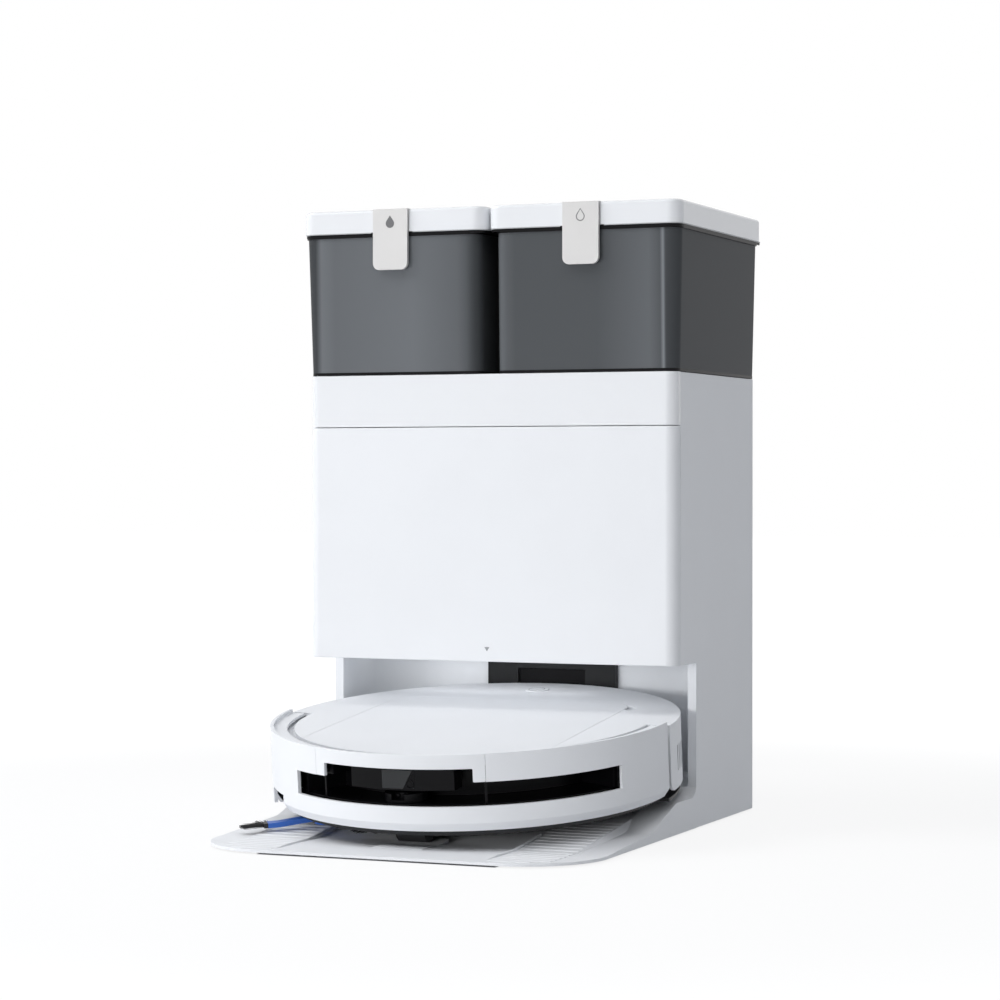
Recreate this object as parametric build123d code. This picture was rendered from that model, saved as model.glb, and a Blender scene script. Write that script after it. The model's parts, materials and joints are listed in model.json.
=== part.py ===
"""Robot vacuum docked in its cleaning station, as separate pieces.

Frame, in millimetres: X to the right, Y to the back, Z up, origin on the floor under the middle of the base.
Robot pieces are drawn in the robot's own frame (u right, v back, w up from its wheel contact plane)
and then set down on the sloping ramp of the station.
"""
from build123d import *
import math
import os

# Station, overall
STATION_W = 346.0
STATION_D = 461.0
STATION_H = 541.0
HOUSING_D = 224.0
PANEL_T = 3.0
HOUSING_CORNER_R = 10.0
CORNER_WRAP = 12.0
COVER_BOTTOM_Z = 144.5
SEAM_Z = 349.5
SEAM_GAP = 0.6
DECK_Z = 395.0
DECK_T = 4.0
MOVE_GAP = 0.4
SEAT_GAP = 0.2

# Base with its ramp
FOOT_H = 1.6
FOOT_R = 9.0
FOOT_INSET = 40.0
LIP_T = 2.4
TOE_R = 70.0
RAMP_ANGLE = 6.16
RAMP_LEAD = 14.1
RAMP_SKIN = 3.0
TRACK_OUTER_X = 150.0
TRACK_INNER_X = 90.0
TRACK_EDGE = 4.0
CHANNEL_DEPTH = 2.5
CASTER_PAD_W = 46.0
CASTER_PAD_L = 30.0
RAIL_RUN = 63.0
RAIL_LOW_Z = 9.9
RAIL_SET_BACK = 1.5
RAIL_HIGH_Z = 28.6
RAIL_BEND_R = 40.0
RAIL_FILLET_R = 12.0
RAIL_SWEEP_H = 8.4

# Docking bay
BAY_SIDE_GAP = 4.5
BAY_WALL = 8.0
BAY_BACK_WALL = 3.0
BAY_BACK_ROOM = 63.5
DOCK_GAP = 2.66
BAY_CORNER_R = 40.0
BAY_CEILING_T = 3.0
BAY_CEILING_RISE = 3.0
BEACON_W = 126.0
BEACON_BOTTOM_Z = 100.0
BEACON_D = 6.0
BEACON_RECESS_W = 66.0
BEACON_RECESS_H = 29.0
BEACON_RECESS_D = 4.0
CONTACT_X = 14.0
CONTACT_R = 5.0
CONTACT_Z = 78.0
CONTACT_PLATE_T = 4.0
CONTACT_PLATE_EDGE = 4.0

# Wash tray under the mop pads
TRAY_SIDE_ROOM = 6.0
TRAY_FRONT_ROOM = 4.5
TRAY_BACK_ROOM = 6.5
TRAY_FLOOR_Z = 6.0
TRAY_WALL = 2.5
TRAY_GAP = 0.5
TRAY_RIB_W = 3.0
TRAY_RIB_PITCH = 16.0

# Machinery inside the housing
BAG_BOX_W = 230.0
BAG_BOX_H = 187.0
BAG_BOX_WALL = 2.5
BAG_BOX_FRONT_GAP = 4.0
BAG_BOX_BACK_GAP = 14.5
BAG_W = 180.0
BAG_D = 62.0
BAG_H = 150.0
BAG_R = 18.0
DUCT_W = 50.0
DUCT_D = 34.0
DUCT_WALL = 2.5
DUCT_X = -85.0
DUCT_BACK_GAP = 14.0
DUCT_TOP_Z = 300.0
DUCT_ELBOW_H = 40.0
SUCTION_R = 42.0
SUCTION_H = 78.0
SUCTION_CAP_H = 10.0
SUCTION_CAP_R = 21.0
SUCTION_X = 20.0
SUCTION_BACK_GAP = 11.5
PUMP_L = 48.0
PUMP_W = 30.0
PUMP_H = 34.0
PUMP_NOZZLE_R = 4.0
PUMP_NOZZLE_L = 12.0
PUMP_X = 140.0
PUMP_FRONT_GAP = 26.5
PUMP_GAP = 12.0
BOARD_W = 90.0
BOARD_H = 110.0
BOARD_T = 1.6
BOARD_CHIPS = 2
BOARD_CHIP_H = 5.0
BOARD_CHIP_W = 30.0
BOARD_CHIP_L = 22.0
BOARD_CHIP_LOW = 27.5
BOARD_CHIP_PITCH = 38.5
BOARD_X = -105.0
SUPPLY_W = 70.0
SUPPLY_D = 40.0
SUPPLY_H = 90.0
SUPPLY_X = 115.0
INLET_W = 30.0
INLET_H = 22.0
INLET_D = 18.0
INLET_X = 120.0
INLET_Z = 60.0
INLET_WELL_D = 12.0
INLET_RIM = 3.0
INLET_PIN_R = 1.5
INLET_PIN_PITCH = 7.5
VENT_COUNT = 9
VENT_W = 60.0
VENT_H = 3.0
VENT_PITCH = 8.0
VENT_Z = 190.0

# Water tanks with hinged lids and front latches
TANK_GAP = 15.0
TANK_WALL = 2.5
TANK_DRAFT = 3.0
TANK_CORNER_R = 12.0
TANK_FLOOR_T = 3.0
LID_H = 20.0
LID_OVERHANG = 5.0
LID_GAP = 2.0
LID_T = 2.2
LID_EDGE_R = 3.0
RIM_H = 4.0
RIM_OVERHANG = 1.3
HINGE_R = 2.4
HINGE_PIN_R = 1.2
HINGE_RUN = 0.05
HINGE_INSET = 2.9
KNUCKLE_L = 14.0
KNUCKLE_X = 60.0
LATCH_W = 33.0
LATCH_H = 53.5
LATCH_T = 3.2
LATCH_PROUD = 3.4
LATCH_R = 6.0
LATCH_PIVOT_R = 4.0
LATCH_PIVOT_Y = 9.0
LATCH_STUB_R = 1.6
LATCH_STUB_L = 2.5
LATCH_POCKET_WALL = 3.0
VALVE_R = 10.0
VALVE_FLANGE_R = 14.0
VALVE_FLANGE_T = 2.6
VALVE_DROP = 11.0
VALVE_BACK_IN = 50.5

# Robot, overall
ROBOT_R = 176.5
ROBOT_H = 81.0
FLOOR_GAP = 0.3
BELLY_W = 12.0
BELLY_T = 3.0
SHELL_T = 2.5
DECK_TOP_W = 77.2
DECK_PLATE_T = 2.8
DECK_IN = 20.5
CHASSIS_IN = 13.5
CHASSIS_WALL_TOP_W = 36.0
REAR_SHELL_BOTTOM_W = 20.0
REAR_SHELL_FRONT_V = 0.6
REAR_EDGE_R = 9.0
GUTTER_T = 2.0
GUTTER_IN = 8.0
GUTTER_OUTER_IN = 9.5
EXHAUST_COUNT = 6
EXHAUST_START = 97.0
EXHAUST_STEP = 2.6
EXHAUST_OPEN = 1.3
EXHAUST_LOW_W = 34.0
EXHAUST_HIGH_W = 56.0

# Bumper with its sensor slot
BUMPER_T = 3.0
BUMPER_BOTTOM_W = 17.4
BUMPER_BEVEL_W = 24.5
BUMPER_BEVEL_IN = 5.0
BUMPER_END_ANGLE = 88.5
BUMPER_RIM_DROP = 3.4
LEDGE_IN = 14.5
LEDGE_T = 2.4
SLOT_LEFT = -34.6
SLOT_RIGHT = 65.3
SLOT_LOW_W = 38.3
SLOT_HIGH_W = 58.0
WINDOW_HALF = 22.0
WINDOW_HIGH_W = 69.0
HOOD_HALF = 25.4
HOOD_SEAM = 0.25
BRUSH_NOTCH_LEFT = -57.5
BRUSH_NOTCH_RIGHT = -45.0
BRUSH_NOTCH_W = 31.5
GUIDE_U = 120.0
GUIDE_W = 31.0
GUIDE_R = 2.5
GUIDE_L = 26.0
GUIDE_RUN = 0.3

# Sensors behind the slot
SENSOR_BACK_IN = 48.5
SENSOR_FRONT_IN = 9.5
SENSOR_WALL = 2.0
SENSOR_MARGIN = 1.4
SENSOR_DROP = 2.5
SLOT_POST = 0.35
LIDAR_R = 17.5
LIDAR_H = 7.0
LIDAR_IN = 27.5
LIDAR_AXLE_R = 3.0
LIDAR_NOTCH_W = 11.6
LIDAR_NOTCH_D = 8.75
LIDAR_NOTCH_LOW = 2.3
CAMERA_W = 92.0
CAMERA_NOSE_W = 30.0
CAMERA_D = 24.0
CAMERA_CHEEK_D = 8.0
CAMERA_IN = 13.5
CAMERA_LOW_W = 48.5

# Top cover and start button
COVER_SIDE_IN = 63.5
COVER_BACK_IN = 83.5
COVER_CORNER_R = 25.0
COVER_GAP = 0.4
COVER_SEAT_IN = 6.0
COVER_SEAT_OUT = 3.0
COVER_SEAT_T = 2.4
THUMB_BACK_IN = 24.0
THUMB_R = 9.0
BUTTON_IN = 33.5
BUTTON_R = 11.0
BUTTON_H = 9.0
BUTTON_PROUD = 0.6
BUTTON_TUBE_T = 2.0
BUTTON_TUBE_H = 7.0

# Drive wheels on swing arms
WHEEL_U = 118.0
WHEEL_R = 32.0
WHEEL_W = 20.0
WHEEL_HUB_R = 20.0
WHEEL_DISH = 2.0
TREAD_COUNT = 24
TREAD_DEPTH = 1.5
TREAD_W = 3.0
AXLE_R = 4.0
AXLE_RUN = 0.05
ARM_T = 6.0
ARM_GAP = 1.0
ARM_V = -48.0
ARM_W = 40.0
ARM_BOSS_R = 8.0
BRACKET_T = 7.0
BRACKET_L = 16.0
WELL_GAP = 3.0

# Front caster
CASTER_IN = 48.5
CASTER_R = 12.0
CASTER_W = 26.0
CASTER_TRAIL = 6.0
FORK_R = 24.0
FORK_T = 3.0
FORK_CHEEK_T = 4.0
FORK_SIDE_GAP = 0.4
CASTER_STEM_R = 5.0
CASTER_STEM_L = 6.0
CASTER_PIN_R = 2.0
CASTER_WELL_R = 27.5
CASTER_WELL_T = 2.5
CASTER_TOP_GAP = 1.0
CASTER_BOSS_R = 9.0
CASTER_CHEEK_L = 16.0

# Main brush under the belly
BRUSH_V = -10.0
BRUSH_AXIS_W = 23.0
BRUSH_R = 20.0
BRUSH_CORE_R = 12.0
BRUSH_L = 160.0
BRUSH_FINS = 6
BRUSH_FIN_T = 2.4
BRUSH_SHAFT_R = 4.0
BRUSH_SHAFT_L = 2.4
BRUSH_HOUSING_T = 2.5
BRUSH_END_GAP = 1.0
BRUSH_TIP_GAP = 2.0
GUARD_T = 2.2
GUARD_EDGE = 8.0

# Side brush with three tufted arms
SIDE_BRUSH_IN = 37.9
SIDE_BRUSH_BEARING = 45.0
SIDE_BRUSH_ARMS = 3
SIDE_BRUSH_ANGLE = 215.0
SIDE_HUB_R = 11.0
SIDE_HUB_TOP_GAP = 0.6
SIDE_ARM_LOW_W = 3.6
SIDE_ARM_T = 4.2
SIDE_ARM_W = 9.5
SIDE_ARM_L = 54.0
SIDE_SHAFT_R = 4.0
SIDE_SHAFT_L = 10.0
SIDE_BOSS_R = 9.0
TUFT_L = 22.0
TUFT_SPREAD = 17.0
TUFT_LAYERS = 8
TUFT_PER_LAYER = 14
STRAND_W = 0.28
TUFT_ROOT_L = 3.0
TUFT_EDGE = 0.5
TUFT_ROUNDING = 3.75

# Mop pads
MOP_R = 64.0
MOP_SIDE_GAP = 2.0
MOP_WHEEL_GAP = 6.0
MOP_PAD_LOW_W = 0.9
MOP_HOLDER_R = 58.0
MOP_HOLDER_T = 3.0
MOP_HOLDER_GAP = 0.5
MOP_SHAFT_R = 6.0
MOP_SHAFT_L = 14.0
MOP_BOSS_R = 12.0

# Machinery inside the robot
BIN_HALF_W = 80.0
BIN_BACK_GAP = 4.1
BIN_H = 55.0
BIN_WALL = 2.0
FAN_R = 24.0
FAN_H = 44.0
FAN_GAP = 26.1
BATTERY_GAP = 4.0
BATTERY_W = 44.0
BATTERY_L = 52.0
BATTERY_H = 40.0
ROBOT_BOARD_W = 120.0
ROBOT_BOARD_L = 44.0
ROBOT_BOARD_T = 1.6
BIN_MOUTH_W = 100.0
BIN_MOUTH_LOW = 10.0
BIN_MOUTH_H = 16.0
FAN_SNOUT_R = 12.0
FAN_SNOUT_H = 6.0

# Values that follow from the ones above
HALF_W = STATION_W / 2
BACK_Y = STATION_D / 2
FRONT_Y = -STATION_D / 2
FACE_Y = BACK_Y - HOUSING_D
IN_X = HALF_W - PANEL_T
IN_FRONT_Y = FACE_Y + PANEL_T
IN_BACK_Y = BACK_Y - PANEL_T
RAIL_HIGH_Y = FACE_Y + RAIL_SET_BACK
RAIL_LOW_Y = RAIL_HIGH_Y - RAIL_RUN
LIP_TOP_Z = FOOT_H + LIP_T
SUCTION_Y = IN_BACK_Y - SUCTION_BACK_GAP - SUCTION_R
CLEAN_PUMP_Y = IN_FRONT_Y + PUMP_FRONT_GAP + PUMP_L / 2
DRAIN_PUMP_Y = CLEAN_PUMP_Y + PUMP_L + PUMP_GAP
VALVE_Y = BACK_Y - VALVE_BACK_IN
CEILING_Z = COVER_BOTTOM_Z + BAY_CEILING_RISE
SHELF_Z = CEILING_Z + BAY_CEILING_T
LID_Z = STATION_H - LID_H
RIM_Z = LID_Z - SEAT_GAP - RIM_H
TANK_Z = DECK_Z + MOVE_GAP
DECK_LOW_W = DECK_TOP_W - DECK_PLATE_T
BELLY_TOP_W = BELLY_W + BELLY_T
DECK_FRONT_R = ROBOT_R - DECK_IN
CHASSIS_FRONT_R = ROBOT_R - CHASSIS_IN
GUTTER_R = ROBOT_R - GUTTER_OUTER_IN
LEDGE_INNER_R = ROBOT_R - LEDGE_IN
SENSOR_BACK_R = ROBOT_R - SENSOR_BACK_IN
SENSOR_FRONT_R = ROBOT_R - SENSOR_FRONT_IN
LIDAR_V = LIDAR_IN - ROBOT_R
CAMERA_FRONT_V = CAMERA_IN - ROBOT_R
CASTER_V = CASTER_IN - ROBOT_R
COVER_HALF_W = ROBOT_R - COVER_SIDE_IN
COVER_BACK_V = ROBOT_R - COVER_BACK_IN
THUMB_V = COVER_BACK_V - THUMB_BACK_IN
BUTTON_V = ROBOT_R - BUTTON_IN
SIDE_BRUSH_U = (SIDE_BRUSH_IN - ROBOT_R) * math.sin(math.radians(SIDE_BRUSH_BEARING))
SIDE_BRUSH_V = (SIDE_BRUSH_IN - ROBOT_R) * math.cos(math.radians(SIDE_BRUSH_BEARING))
MOP_U = MOP_R + MOP_SIDE_GAP
MOP_V = WHEEL_R + math.sqrt((MOP_R + MOP_WHEEL_GAP) ** 2 - (WHEEL_U - WHEEL_W / 2 - MOP_U) ** 2)
BIN_FRONT_V = BRUSH_V + BRUSH_R + BRUSH_TIP_GAP + BRUSH_HOUSING_T + MOVE_GAP
BIN_BACK_V = MOP_V - MOP_BOSS_R - BIN_BACK_GAP
FAN_V = BIN_BACK_V + FAN_GAP + FAN_R
TILT_SIN = math.sin(math.radians(RAMP_ANGLE))
TILT_COS = math.cos(math.radians(RAMP_ANGLE))
RAMP_SLOPE = TILT_SIN / TILT_COS
BAY_BACK_Y = IN_BACK_Y - BAY_BACK_ROOM
ROBOT_Y = BAY_BACK_Y - DOCK_GAP - ROBOT_R * TILT_COS + REAR_SHELL_BOTTOM_W * TILT_SIN
BAY_INNER_X = HALF_W - BAY_WALL
BAY_FRONT_Y = ROBOT_Y + TILT_COS * math.sqrt(ROBOT_R ** 2 - (BAY_INNER_X - BAY_SIDE_GAP) ** 2)
CASTER_Y = ROBOT_Y + (CASTER_V - CASTER_TRAIL) * TILT_COS
RAMP_FOOT_Y = CASTER_Y - RAMP_LEAD
RAMP_Z = LIP_TOP_Z + (ROBOT_Y - RAMP_FOOT_Y) * RAMP_SLOPE
MOP_Y = ROBOT_Y + MOP_V * TILT_COS
TRAY_HALF_W = MOP_U + MOP_R + TRAY_SIDE_ROOM
TRAY_FRONT_Y = MOP_Y - MOP_R - TRAY_FRONT_ROOM
TRAY_BACK_Y = MOP_Y + MOP_R + TRAY_BACK_ROOM
DOCK = Location((0, ROBOT_Y, RAMP_Z + FLOOR_GAP), (RAMP_ANGLE, 0, 0))


def ramp_z(y):
    """Height of the ramp plane at a given Y."""
    return RAMP_Z + (y - ROBOT_Y) * RAMP_SLOPE


def block(x, y, z):
    """Box between two limits on each axis."""
    size = Box(x[1] - x[0], y[1] - y[0], z[1] - z[0])
    return Pos((x[0] + x[1]) / 2, (y[0] + y[1]) / 2, (z[0] + z[1]) / 2) * size


def rounded_block(x, y, z, radius):
    """Box with rounded vertical edges."""
    outline = RectangleRounded(x[1] - x[0], y[1] - y[0], radius)
    return extrude(Pos((x[0] + x[1]) / 2, (y[0] + y[1]) / 2, z[0]) * outline, z[1] - z[0])


def post(x, y, z, radius):
    """Upright cylinder between two heights."""
    return Pos(x, y, (z[0] + z[1]) / 2) * Cylinder(radius, z[1] - z[0])


def bar(x, y, z, radius):
    """Cylinder along X between two X limits."""
    return Pos((x[0] + x[1]) / 2, y, z) * Rot(0, 90, 0) * Cylinder(radius, x[1] - x[0])


def peg(x, y, z, radius):
    """Cylinder along Y between two Y limits."""
    return Pos(x, (y[0] + y[1]) / 2, z) * Rot(90, 0, 0) * Cylinder(radius, y[1] - y[0])


def x_prism(outline, x):
    """Extrude an outline drawn in Y and Z along X."""
    return extrude(Plane.YZ.offset(x[0]) * outline, x[1] - x[0], dir=(1, 0, 0))


def ring_sector(points, start, end):
    """Turn a radius and height outline about W, between two angles from the front, positive to the right."""
    outline = Plane.XZ * Polygon(*points, align=None)
    return Rot(0, 0, start - 90) * revolve(outline, Axis.Z, end - start)


def ring_block(radius, w, angles):
    """Sector of a flat ring."""
    points = [(radius[0], w[0]), (radius[1], w[0]), (radius[1], w[1]), (radius[0], w[1])]
    return ring_sector(points, angles[0], angles[1])


def below_ramp(drop):
    """Everything that lies lower than the ramp plane less a drop."""
    size = 4 * STATION_D
    plane = Location((0, ROBOT_Y, RAMP_Z), (RAMP_ANGLE, 0, 0))
    return plane * Pos(0, 0, -size / 2 - drop) * Box(size, size, size)


def mirror_x(part):
    """The same piece on the other side."""
    return mirror(part, Plane.YZ)


PIECES = {}


def station(name, part):
    """Keep a piece of the station, drawn in place."""
    PIECES[name] = part


def robot(name, part):
    """Keep a piece of the robot and set it down on the ramp."""
    PIECES[name] = DOCK * part


def housing_ring(z):
    """Closed outer wall of the housing between two heights."""
    outer = rounded_block((-HALF_W, HALF_W), (FACE_Y, BACK_Y), z, HOUSING_CORNER_R)
    return outer - housing_core(z)


def housing_core(z):
    """Space inside the outer wall of the housing."""
    return rounded_block((-IN_X, IN_X), (IN_FRONT_Y, IN_BACK_Y), z, HOUSING_CORNER_R - PANEL_T)


def side_rail():
    """Right edge of the base, rising from the lip to the foot of the bay wall."""
    outline = Polygon(
        (FRONT_Y, FOOT_H), (FRONT_Y, LIP_TOP_Z), (RAMP_FOOT_Y, LIP_TOP_Z), (RAIL_LOW_Y, RAIL_LOW_Z),
        (RAIL_HIGH_Y, RAIL_HIGH_Z), (BAY_FRONT_Y, RAIL_HIGH_Z), (BAY_FRONT_Y, FOOT_H), align=None)
    bends = [(RAIL_LOW_Y, RAIL_LOW_Z), (RAIL_HIGH_Y, RAIL_HIGH_Z)]
    outline = fillet([outline.vertices().sort_by_distance(bend)[0] for bend in bends], RAIL_BEND_R)
    corner = Rectangle(RAIL_FILLET_R, RAIL_SWEEP_H)
    corner = Pos(BAY_FRONT_Y - RAIL_FILLET_R / 2, RAIL_HIGH_Z + RAIL_SWEEP_H / 2) * corner
    corner -= Pos(BAY_FRONT_Y - RAIL_FILLET_R, RAIL_HIGH_Z + RAIL_FILLET_R) * Circle(RAIL_FILLET_R)
    return x_prism(outline + corner, (TRACK_OUTER_X - TRACK_EDGE, HALF_W))


def base_ramp():
    """Ramp between the two rails, with chamfered track edges and a sunk centre channel."""
    top_z = ramp_z(IN_BACK_Y)
    outline = Polygon(
        (FRONT_Y, FOOT_H), (FRONT_Y, LIP_TOP_Z), (RAMP_FOOT_Y, LIP_TOP_Z), (IN_BACK_Y, top_z),
        (IN_BACK_Y, FOOT_H), align=None)
    ramp = x_prism(outline, (-TRACK_OUTER_X, TRACK_OUTER_X))
    slope = math.hypot(IN_BACK_Y - RAMP_FOOT_Y, top_z - LIP_TOP_Z)
    ramp = chamfer([e for e in ramp.edges() if abs(e.length - slope) < 0.01], TRACK_EDGE)
    channel_y = (FRONT_Y, TRAY_FRONT_Y - CASTER_PAD_L)
    channel = block((-TRACK_INNER_X, TRACK_INNER_X), channel_y, (LIP_TOP_Z, STATION_H))
    ramp -= channel - below_ramp(CHANNEL_DEPTH)
    pad_y = (CASTER_Y - CASTER_PAD_L / 2, CASTER_Y + CASTER_PAD_L / 2)
    pad = block((-CASTER_PAD_W / 2, CASTER_PAD_W / 2), pad_y, (FOOT_H, RAMP_Z))
    return ramp + (pad & below_ramp(0))


def base_hollow():
    """Empty space under the ramp, before and behind the wash tray, with a post left over every foot."""
    side_x = TRACK_OUTER_X - 2 * TRACK_EDGE
    skin = RAMP_SKIN + CHANNEL_DEPTH
    start_y = ROBOT_Y + (FOOT_H + RAMP_SKIN + skin - RAMP_Z) / RAMP_SLOPE
    end_y = TRAY_FRONT_Y - TRAY_GAP - RAMP_SKIN
    back_y = (TRAY_BACK_Y + TRAY_GAP + RAMP_SKIN, IN_BACK_Y - RAMP_SKIN)
    hollow = block((-side_x, side_x), (start_y, end_y), (FOOT_H, STATION_H)) & below_ramp(skin)
    hollow += block((-side_x, side_x), back_y, (FOOT_H, STATION_H)) & below_ramp(skin)
    return hollow - [post(x, y, (FOOT_H, STATION_H), FOOT_R + RAMP_SKIN) for x, y in foot_places()]


def base_plate():
    """Whole floor of the station, from the front lip to the rear cover."""
    rail = side_rail()
    rear = rounded_block((-IN_X, IN_X), (BAY_FRONT_Y - 2 * HOUSING_CORNER_R, IN_BACK_Y),
                         (FOOT_H, DECK_Z), HOUSING_CORNER_R) & below_ramp(0)
    rear &= block((-IN_X, IN_X), (BAY_FRONT_Y, IN_BACK_Y), (FOOT_H, DECK_Z))
    ramp = base_ramp() & rounded_block((-IN_X, IN_X), (2 * FRONT_Y, IN_BACK_Y), (FOOT_H, DECK_Z),
                                       HOUSING_CORNER_R)
    base = ramp + rail + mirror_x(rail) + rear
    plan = Rectangle(STATION_W, STATION_D)
    plan = fillet(plan.vertices().group_by(Axis.Y)[0], TOE_R)
    base &= extrude(plan, DECK_Z)
    tray_x = TRAY_HALF_W + TRAY_GAP
    tray_y = (TRAY_FRONT_Y - TRAY_GAP, TRAY_BACK_Y + TRAY_GAP)
    return base - base_hollow() - block((-tray_x, tray_x), tray_y, (TRAY_FLOOR_Z, DECK_Z))


def foot_places():
    """Six places along the sides and one under the middle of the base."""
    side_x = HALF_W - FOOT_INSET
    sides = [(x, y) for x in (-side_x, side_x) for y in (FRONT_Y + FOOT_INSET, 0, BACK_Y - FOOT_INSET)]
    return sides + [(0, 0)]


def feet():
    """Round rubber feet under the base."""
    return Part() + [post(x, y, (0, FOOT_H), FOOT_R) for x, y in foot_places()]


def wash_tray():
    """Lift-out tray with ribs that the mop pads turn on."""
    y = (TRAY_FRONT_Y, TRAY_BACK_Y)
    inner_x = TRAY_HALF_W - TRAY_WALL
    inner_y = (y[0] + TRAY_WALL, y[1] - TRAY_WALL)
    floor_z = TRAY_FLOOR_Z + TRAY_WALL
    tray = block((-TRAY_HALF_W, TRAY_HALF_W), y, (TRAY_FLOOR_Z, DECK_Z)) & below_ramp(SEAT_GAP)
    tray -= block((-inner_x, inner_x), inner_y, (floor_z, DECK_Z))
    half_count = int((MOP_R - TRAY_RIB_W) / TRAY_RIB_PITCH)
    for side in (-1, 1):
        disc = post(side * MOP_U, MOP_Y, (floor_z, DECK_Z), MOP_R - TRAY_RIB_W)
        for step in range(-half_count, half_count + 1):
            x = side * MOP_U + step * TRAY_RIB_PITCH
            rib = block((x - TRAY_RIB_W / 2, x + TRAY_RIB_W / 2), inner_y, (floor_z, DECK_Z))
            tray += rib & disc & below_ramp(0)
    return tray


def side_panel():
    """Right wall of the station, one plane from the deck to the floor, with a turned-in front edge."""
    wrap_front = FACE_Y + CORNER_WRAP
    wrap_back = BACK_Y - CORNER_WRAP
    outline = Polygon(
        (BAY_FRONT_Y, FOOT_H), (wrap_back, FOOT_H), (wrap_back, DECK_Z), (wrap_front, DECK_Z),
        (wrap_front, COVER_BOTTOM_Z), (BAY_FRONT_Y, COVER_BOTTOM_Z), align=None)
    flange = block((BAY_INNER_X, IN_X), (BAY_FRONT_Y, BAY_FRONT_Y + PANEL_T), (FOOT_H, CEILING_Z))
    return x_prism(outline, (IN_X, HALF_W)) + (flange - below_ramp(0))


def bay_liner():
    """Inner walls and ceiling of the docking bay; the ceiling is also the shelf for the machinery."""
    front = BAY_FRONT_Y + PANEL_T
    back = BAY_BACK_Y + BAY_BACK_WALL
    outer = Pos(0, (front + back) / 2) * Rectangle(2 * IN_X, back - front)
    inner = Pos(0, (front + BAY_BACK_Y) / 2) * Rectangle(2 * BAY_INNER_X, BAY_BACK_Y - front)
    inner = fillet(inner.vertices().group_by(Axis.Y)[-1], BAY_CORNER_R)
    walls = Pos(0, 0, FOOT_H) * extrude(outer - inner, CEILING_Z - FOOT_H) - below_ramp(0)
    shelf = rounded_block((-IN_X, IN_X), (IN_FRONT_Y + MOVE_GAP, IN_BACK_Y), (CEILING_Z, SHELF_Z),
                          HOUSING_CORNER_R)
    liner = walls + shelf - duct_outside(MOVE_GAP)
    for x in (-CONTACT_X, CONTACT_X):
        liner -= peg(x, (BAY_BACK_Y - BAY_WALL, back + BAY_WALL), CONTACT_Z, CONTACT_R + MOVE_GAP)
    return liner


def beacon_window():
    """Black panel at the back of the bay with a recess for the homing light."""
    front = BAY_BACK_Y - BEACON_D
    panel = block((-BEACON_W / 2, BEACON_W / 2), (front, BAY_BACK_Y), (BEACON_BOTTOM_Z, CEILING_Z))
    recess_z = (BEACON_BOTTOM_Z, BEACON_BOTTOM_Z + BEACON_RECESS_H)
    half = BEACON_RECESS_W / 2
    return panel - block((-half, half), (front, front + BEACON_RECESS_D), recess_z)


def charge_contacts():
    """Two sprung charging pins on a carrier plate behind the bay wall."""
    low_w = (CONTACT_Z - CONTACT_R - RAMP_Z - ROBOT_R * TILT_SIN) / TILT_COS
    tip_y = ROBOT_Y + ROBOT_R * TILT_COS - low_w * TILT_SIN + MOVE_GAP
    plate_y = BAY_BACK_Y + BAY_BACK_WALL + SEAT_GAP
    reach = CONTACT_R + CONTACT_PLATE_EDGE
    carrier = block((-CONTACT_X - reach, CONTACT_X + reach), (plate_y, plate_y + CONTACT_PLATE_T),
                    (CONTACT_Z - reach, CONTACT_Z + reach))
    for x in (-CONTACT_X, CONTACT_X):
        carrier += peg(x, (tip_y, plate_y), CONTACT_Z, CONTACT_R)
    return carrier


def front_cover():
    """Pull-off cover of the dust bag compartment, wrapped round both front corners."""
    z = (COVER_BOTTOM_Z, SEAM_Z - SEAM_GAP)
    return housing_ring(z) & block((-HALF_W, HALF_W), (FACE_Y, FACE_Y + CORNER_WRAP - MOVE_GAP), z)


def upper_shell():
    """Glossy band above the seam and the deck that the tanks stand on."""
    z = (SEAM_Z, DECK_Z)
    shell = housing_ring(z) & block((-HALF_W, HALF_W), (FACE_Y, FACE_Y + CORNER_WRAP), z)
    deck_z = (DECK_Z - DECK_T, DECK_Z)
    shell += housing_core(deck_z)
    for side in (-1, 1):
        shell -= post(side * tank_mid_x(), VALVE_Y, deck_z, VALVE_R + MOVE_GAP)
    return shell


def rear_cover():
    """Back of the housing with air vents and an opening for the mains inlet."""
    z = (FOOT_H, DECK_Z)
    cover = housing_ring(z) & block((-HALF_W, HALF_W), (BACK_Y - CORNER_WRAP, BACK_Y), z)
    for step in range(VENT_COUNT):
        vent_z = VENT_Z + step * VENT_PITCH
        cover -= block((-VENT_W / 2, VENT_W / 2), (IN_BACK_Y, BACK_Y), (vent_z, vent_z + VENT_H))
    return cover - mains_block(0)


def mains_block(inset):
    """Outer block of the mains inlet, drawn in by an inset."""
    x = INLET_W / 2 - inset
    z = INLET_H / 2 - inset
    return block((INLET_X - x, INLET_X + x), (BACK_Y - INLET_D, BACK_Y), (INLET_Z - z, INLET_Z + z))


def mains_inlet():
    """Socket for the mains lead with three pins in its well."""
    well_y = (BACK_Y - INLET_WELL_D, BACK_Y)
    cut = mains_block(INLET_RIM) & block((0, STATION_W), well_y, (0, DECK_Z))
    inlet = mains_block(0) - cut
    for x in (-INLET_PIN_PITCH, 0, INLET_PIN_PITCH):
        inlet += peg(INLET_X + x, (well_y[0], BACK_Y - INLET_RIM), INLET_Z, INLET_PIN_R)
    return inlet


def bag_box_y():
    """Front and back of the dust bag compartment."""
    return (IN_FRONT_Y + BAG_BOX_FRONT_GAP, SUCTION_Y - SUCTION_R - BAG_BOX_BACK_GAP)


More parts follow.
